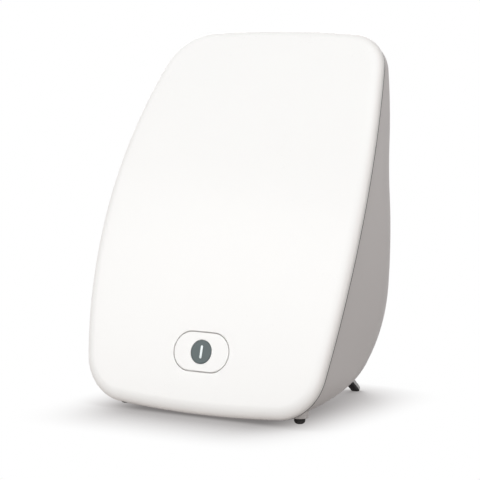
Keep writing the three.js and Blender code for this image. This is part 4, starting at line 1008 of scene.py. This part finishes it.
def pocket_section(grow):
    """The stand's pocket in side view, from the folded legs round the barrel to the standing legs."""
    hinge = HINGE[1:]
    folded, standing = way(-STAND_SLOPE - STAND_FOLD), way(-STAND_SLOPE)
    inward, upward = np.array([folded[1], -folded[0]]), np.array([-standing[1], standing[0]])
    radius = STAND_BARREL_RADIUS + TONGUE_GAP + grow
    stop = LEG_ROOT[1] / 2 + CLEARANCE + grow
    end = LEG_LENGTH + TIP_RADIUS + POCKET_END + grow
    start = math.atan2(inward[1], inward[0])
    finish = -STAND_SLOPE + math.atan2(stop, math.sqrt(radius**2 - stop**2))
    turn = [hinge + way(start + (finish - start) * i / POCKET_STEPS) * radius
            for i in range(POCKET_STEPS + 1)]
    tip = hinge + folded * end
    return np.array([tip - inward * POCKET_REACH, tip + inward * radius, *turn,
                     hinge + standing * POCKET_REACH + upward * stop,
                     hinge + standing * POCKET_REACH - upward * POCKET_REACH])


def prism(points, low, high):
    """A closed prism over a side view, between two places across."""
    count = len(points)
    rings = [in_place(side_place(), at_height(points, x)) for x in (low, high)]
    sides = [(i, j, count + j, count + i) for i, j in neighbours(count)]
    caps = [tuple(reversed(range(count))), tuple(range(count, 2 * count))]
    return np.concatenate(rings), sides + caps


def stand_pocket():
    """The pocket's walls, trimmed to the housing's form, and the space inside them."""
    half = STAND_HALF_LENGTH + POCKET_SIDE
    outer = half + POCKET_WALL
    walls = solid("pocket_wall_tool", prism(pocket_section(POCKET_WALL), -outer, outer))
    combine(walls, housing_block(), "INTERSECT")
    return walls, prism(pocket_section(0.0), -half, half)


def foot_place(side):
    return frame_rows((side * FOOT_PLACE, FOOT_SETBACK, 0), (1, 0, 0), (0, 1, 0), (0, 0, 1))


def foot_top():
    """The height of a front foot's shoulder, from the frame's own foot."""
    _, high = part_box("front_foot_left")
    return high[2] / MM - FOOT_BARB_HEIGHT - FOOT_SLEEVE - 2 * CLEARANCE


def foot_sleeves():
    """The front feet's seats, soft-edged below the housing, and their recesses."""
    shoulder = foot_top() + CLEARANCE
    high = shoulder + FOOT_SLEEVE
    radius, stem = FOOT_RADIUS + CLEARANCE, FOOT_STEM_RADIUS + CLEARANCE
    outer = radius + FOOT_SLEEVE
    lower = [(r, -h) for r, h in reversed(rounded(outer, -FOOT_SHOWN, SEAT_SOFT))]
    seat = [(0, FOOT_SHOWN), *lower, (outer, high), (0, high)]
    recess = [(0, -OVERRUN), (radius, -OVERRUN), (radius, shoulder), (stem, shoulder),
              (stem, high + OVERRUN), (0, high + OVERRUN)]
    places = [foot_place(side) for side in (-1, 1)]
    seats = solid("foot_sleeve_tool", *[turned(place, seat) for place in places])
    return seats, [turned(place, recess) for place in places]


def housing_shell():
    made = solid("housing_shell", housing_skin())
    tubes, bores = screw_wells()
    pocket_walls, pocket_space = stand_pocket()
    seats, recesses = foot_sleeves()
    combine(made, solid("well_tool", *tubes), "UNION")
    combine(made, pocket_walls, "UNION")
    combine(made, seats, "UNION")
    inlet_hole = cylinder(inlet_place(), INLET_RADIUS + CLEARANCE, -OVERRUN, INLET_HOLE_DEPTH)
    cut(made, *bores, *vents(), plate_recess(), inlet_hole, *recesses)
    cut(made, pocket_space)
    reach = STAND_HALF_LENGTH + POCKET_SIDE + POCKET_WALL + OVERRUN
    cut(made, cylinder(side_place(HINGE), PIN_RADIUS + CLEARANCE, -reach, reach))
    hand_over(made, "lamp", "housing_plastic", "rear_housing")


def seam_shadow_strip():
    """A soft dark strip in the groove between cover and housing: painted shade that stands in for the
    shadow in the seam.
    """
    near, far = COVER_CURL + SHADOW_STRIP_PLAY, RIM_CURL + SEAM_GROOVE - SHADOW_STRIP_PLAY
    front, back = HOUSING_DROP - CLEARANCE + SHADOW_STRIP_PLAY, HOUSING_DROP + SEAM_GROOVE - SHADOW_STRIP_PLAY
    section = [ring(near, front), ring(far, front), ring(far, back), ring(near, back)]
    hand_over(solid("seam_shadow_strip", hoop(section)), "lamp", "rubber", sharp=False)


# The key, its inlay and its window

def morph(start, end, count):
    """Loops that change from one into the other, both ends left out."""
    return [start + (end - start) * i / (count + 1) for i in range(1, count + 1)]


def facing_circle(radius, depth, outline=pill(*KEY_HALF)[0]):
    """An even circle on the key, numbered in step with an outline's points."""
    start = math.atan2(outline[0, 1], outline[0, 0])
    angles = start + 2 * math.pi * np.arange(len(outline)) / len(outline)
    return on_face(radius * way(angles), depth)


def key_cap():
    """The key: a soft-edged top with the inlay's pocket, a skirt with its flange, and a stem."""
    edge = [key_loop(-inset, depth) for inset, depth in soft_edge(KEY_EDGE, quarter_turn(KEY_EDGE_STEPS))]
    pocket = DOT_RADIUS + CLEARANCE
    pocket_depth = DOT_THICKNESS + CLEARANCE
    mouth = facing_circle(pocket + KEY_POCKET_SOFT, 0.0)
    rings = [facing_circle(pocket / 2, pocket_depth), facing_circle(pocket, pocket_depth),
             facing_circle(pocket, KEY_POCKET_SOFT), mouth,
             *reversed(morph(edge[0], mouth, KEY_TOP_LOOPS)), *edge,
             key_loop(0.0, KEY_FLANGE_DROP), key_loop(KEY_FLANGE, KEY_FLANGE_DROP),
             key_loop(KEY_FLANGE, KEY_FLANGE_BACK), key_loop(-KEY_WALL, KEY_FLANGE_BACK),
             key_loop(-KEY_WALL, KEY_WALL), facing_circle(KEY_STEM_RADIUS, KEY_WALL),
             facing_circle(KEY_STEM_RADIUS, KEY_STEM_REACH)]
    middle = np.zeros((1, 2))
    ends = on_face(middle, pocket_depth)[0], on_face(middle, KEY_STEM_REACH)[0]
    made = solid("key_cap", skin(ends[0], rings, ends[1]))
    hand_over(made, "key", "cover_plastic", "on_off_key")


def upright_pill(outset, depth):
    points, normals = pill(*BAR_HALF, BAR_STEPS)
    turned_points = (points + normals * outset) @ np.array([[0.0, 1.0], [-1.0, 0.0]])
    return turned_points, on_face(turned_points, depth)


def key_dot():
    flat_bar, slot_top = upright_pill(BAR_GAP, 0.0)
    _, slot_bottom = upright_pill(BAR_GAP, DOT_THICKNESS)
    edge = [facing_circle(DOT_RADIUS - inset, depth, flat_bar)
            for inset, depth in soft_edge(DOT_SOFT, quarter_turn(DOT_EDGE_STEPS))]
    bottom = facing_circle(DOT_RADIUS, DOT_THICKNESS, flat_bar)
    rings = [slot_top, *morph(slot_top, edge[0], DOT_TOP_LOOPS), *edge, bottom, slot_bottom]
    made = solid("key_dot", hoop(rings))
    hand_over(made, "key", "inlay_plastic", "key_dot_inlay")


def key_bar():
    middle = BAR_SOFT * BAR_SOFT_MIDDLE
    levels = [(-BAR_SOFT, 0.0), (-middle, middle), (0.0, BAR_SOFT), (0.0, DOT_THICKNESS)]
    rings = [upright_pill(outset, depth)[1] for outset, depth in levels]
    made = solid("key_bar", capped(rings))
    hand_over(made, "key", "window_plastic", "key_bar_window")


# Feet

def front_foot(side, name):
    top = foot_top()
    barb = top + FOOT_SLEEVE + 2 * CLEARANCE
    base = [(FOOT_RADIUS - inset, height)
            for inset, height in soft_edge(FOOT_ROUND, quarter_turn(FOOT_STEPS))]
    profile = [(0, 0), *base, (FOOT_RADIUS, top), (FOOT_STEM_RADIUS, top),
               (FOOT_STEM_RADIUS, barb), (FOOT_BARB_RADIUS, barb),
               (FOOT_STEM_RADIUS, barb + FOOT_BARB_HEIGHT), (0, barb + FOOT_BARB_HEIGHT)]
    made = solid("foot_" + name, turned(foot_place(side), profile))
    hand_over(made, "lamp", "rubber", "front_foot_" + name)


# The fold-out stand

def leg_place():
    """The stand's own place: across, along the legs and out of their upper side."""
    along = (0, math.cos(STAND_SLOPE), -math.sin(STAND_SLOPE))
    above = (0, math.sin(STAND_SLOPE), math.cos(STAND_SLOPE))
    return frame_rows(HINGE, (1, 0, 0), along, above)


def leg_section(x, along, half_width, half_height):
    """A rounded rectangle across a leg, as points across, along and up."""
    corner = min(LEG_CORNER, half_height * LEG_CORNER_MOST, half_width * LEG_CORNER_MOST)
    points, _ = rounded_panel(half_width, half_height, corner, LEG_CORNER_STEPS)
    return np.stack([x + points[:, 0], np.full(len(points), along), points[:, 1]], axis=-1)


def leg_size(s):
    """A leg's half width and half height at a distance along it."""
    return [(root + (tip - root) * s / LEG_LENGTH) / 2 for root, tip in zip(LEG_ROOT, LEG_TIP)]


def leg(x):
    """A tapering leg with softened edges and a rounded tip."""
    stations = [(s, *leg_size(s)) for s in np.linspace(0, LEG_LENGTH, LEG_STEPS)]
    for angle in quarter_turn(LEG_TIP_STEPS)[1:-1]:
        s = LEG_LENGTH + TIP_RADIUS * math.sin(angle)
        narrow = leg_size(LEG_LENGTH)[0] - LEG_CORNER * (1 - math.cos(angle)) ** 2
        stations.append((s, narrow, TIP_RADIUS * math.cos(angle)))
    place = leg_place()
    rings = [in_place(place, leg_section(x, *station)) for station in stations]
    ends = in_place(place, [[x, 0, 0], [x, LEG_LENGTH + TIP_RADIUS, 0]])
    return skin(ends[0], rings, ends[1])


def shoe_space(x, grow):
    """The block that a leg's rubber takes up."""
    low = (x - LEG_ROOT[0], LEG_LENGTH - SHOE_LENGTH - grow, -LEG_ROOT[1])
    high = (x + LEG_ROOT[0], LEG_LENGTH + LEG_TIP[1], SHOE_THICKNESS - TIP_RADIUS + grow)
    corners, faces = block(low, high)
    return in_place(leg_place(), corners), faces


def fold_out_stand():
    """The stand: a barrel with a pin bore in each end, and two legs with seats for their pads."""
    across, half = side_place(HINGE), STAND_HALF_LENGTH
    end = rounded(STAND_BARREL_RADIUS, half, STAND_BARREL_SOFT)
    start = [(radius, -height) for radius, height in reversed(end)]
    bore, depth = PIN_RADIUS + CLEARANCE, half - PIN_REACH - PIN_ROOM
    profile = [(0, -depth), (bore, -depth), (bore, -half), *start, *end,
               (bore, half), (bore, depth), (0, depth)]
    made = solid("stand_frame", turned(across, profile))
    for side in (-1, 1):
        limb = solid("leg_tool", leg(side * LEG_PLACE))
        cut(limb, shoe_space(side * LEG_PLACE, SHOE_GAP))
        combine(made, limb, "UNION")
        cut(made, cylinder(across, bore, side * depth, side * (half + PIN_ROOM)))
    hand_over(made, "stand", "stand_plastic", "stand")


def stand_shoe(side, name):
    x = side * LEG_PLACE
    made = solid("shoe_" + name, leg(x))
    combine(made, solid("shoe_tool", shoe_space(x, 0.0)), "INTERSECT")
    y = HINGE[1] + LEG_LENGTH
    cut(made, block((x - SHOE_TRIM, y - SHOE_TRIM, -SHOE_TRIM), (x + SHOE_TRIM, y + SHOE_TRIM, 0.0)))
    hand_over(made, "stand", "rubber", "stand_shoe_" + name)


# The inlet and the plate on the back

def inlet_socket():
    """The power inlet: a flanged barrel with a pin at the middle of its bore."""
    face, end = INLET_FACE, INLET_FACE + INLET_LENGTH
    pin, pin_end = INLET_PIN_RADIUS, INLET_FACE + INLET_PIN_SUNK
    bore, bore_end = INLET_BORE_RADIUS, INLET_FACE + INLET_BORE_DEPTH
    rim = [(INLET_FLANGE_RADIUS - inset, face + depth)
           for inset, depth in soft_edge(INLET_SOFT, INLET_RIM_TURNS)]
    profile = [(0, pin_end), (pin - CHAMFER, pin_end), (pin, pin_end + CHAMFER), (pin, bore_end),
               (bore, bore_end), (bore, face + INLET_LEAD_IN), (bore + INLET_LEAD_IN, face), *rim,
               (INLET_FLANGE_RADIUS, -CLEARANCE), (INLET_RADIUS, -CLEARANCE), (INLET_RADIUS, end), (0, end)]
    made = solid("inlet_socket", turned(inlet_place(), profile))
    hand_over(made, "lamp", "black_plastic", "dc_inlet_socket")


def bare_plate():
    levels = [(-PLATE_SOFT, 0.0), (0.0, PLATE_SOFT), (0.0, PLATE_THICKNESS)]
    section = rounded_panel(*PLATE_HALF, PLATE_CORNER)
    made = solid("bare_plate", plug(back_place(0, PLATE_HEIGHT), section, levels))
    hand_over(made, "lamp", "plate_film", "rating_plate")


# Camera, floor and light

def aim(thing, target, azimuth, elevation, distance):
    """Puts a camera or a light at a distance from a target, facing it, for angles in radians."""
    back = Vector((math.sin(azimuth) * math.cos(elevation),
                   -math.cos(azimuth) * math.cos(elevation), math.sin(elevation)))
    thing.location = Vector(target) + back * distance
    thing.rotation_mode = "QUATERNION"
    thing.rotation_quaternion = (-back).to_track_quat("-Z", "Y")


def add_camera():
    data = bpy.data.cameras.new("camera")
    data.lens, data.sensor_width = CAMERA_LENS, CAMERA_SENSOR
    data.shift_x, data.shift_y = CAMERA_SHIFT
    data.clip_end = CAMERA_CLIP_END
    camera = linked("camera", data)
    aim(camera, to_frame(CAMERA_TARGET), CAMERA_AZIMUTH, CAMERA_ELEVATION, CAMERA_DISTANCE)
    bpy.context.scene.camera = camera


def add_floor():
    """A white floor. What is close over it takes some of its light, which makes a soft shadow."""
    mesh = bpy.data.meshes.new("floor")
    corners = [(x * FLOOR_HALF, y * FLOOR_HALF, 0) for x, y in ((-1, -1), (1, -1), (1, 1), (-1, 1))]
    mesh.from_pydata(corners, [], [(0, 1, 2, 3)])
    floor = linked("floor", mesh)
    made = Shader("floor", 1.0, Specular_IOR_Level=0.0)
    made.feed(Base_Color=(*FLOOR_LIT, 1.0))
    shelter = made.node("AmbientOcclusion", {"samples": SHADOW_SAMPLES}, Distance=SHADOW_REACH)
    open_sky = Value(made, shelter.outputs["AO"])
    under = open_sky * SHADOW_FILL + SHADOW_CORE
    beside = 1.0 - (1.0 - open_sky) * SHADOW_EDGE
    across, _, _ = made.axes()
    kept = 1.0 - abs(across).between(*SHADOW_SIDES)
    light = 1.0 - (1.0 - under.larger(beside)) * kept
    tone = made.mix(light, SHADOW_TONE, (1.0, 1.0, 1.0))
    glow = made.node("Emission", {}, made.mix(light, (0.0, 0.0, 0.0), tone), 1.0)
    both = made.node("MixShader", {}, made.seen(), made.surface.outputs[0], glow.outputs[0])
    made.join(made.tree.nodes["Material Output"].inputs[0], both.outputs[0])
    mesh.materials.append(made.material)


def add_sky():
    """White where the camera, gloss or glass sees it, and a plain level of light elsewhere."""
    world = bpy.data.worlds.new("studio")
    world.use_nodes = True
    made = Nodes(world.node_tree)
    level = made.node("MapRange", {}, made.seen(), To_Min=SKY_LEVEL, To_Max=1.0)
    sky = world.node_tree.nodes["Background"]
    made.join_named(sky, Color=(1.0, 1.0, 1.0, 1.0), Strength=level.outputs[0])
    bpy.context.scene.world = world


def add_lights():
    """Square soft lights that look at the middle of the lamp."""
    for name, (azimuth, elevation, distance, size, power) in LIGHTS.items():
        data = bpy.data.lights.new(name, "AREA")
        data.shape, data.size, data.energy = "SQUARE", size, power
        aim(linked(name, data), LIGHT_AIM, math.radians(azimuth), math.radians(elevation), distance)


add_camera()
add_floor()
add_sky()
add_lights()
bpy.context.scene.view_settings.view_transform = "Standard"
dress_frame()
cover_shell()
housing_shell()
# A dark strip of painted shade in the seam between cover and housing
seam_shadow_strip()
key_cap()
key_dot()
key_bar()
for side, name in ((-1, "left"), (1, "right")):
    front_foot(side, name)
    stand_shoe(side, name)
fold_out_stand()
inlet_socket()
bare_plate()
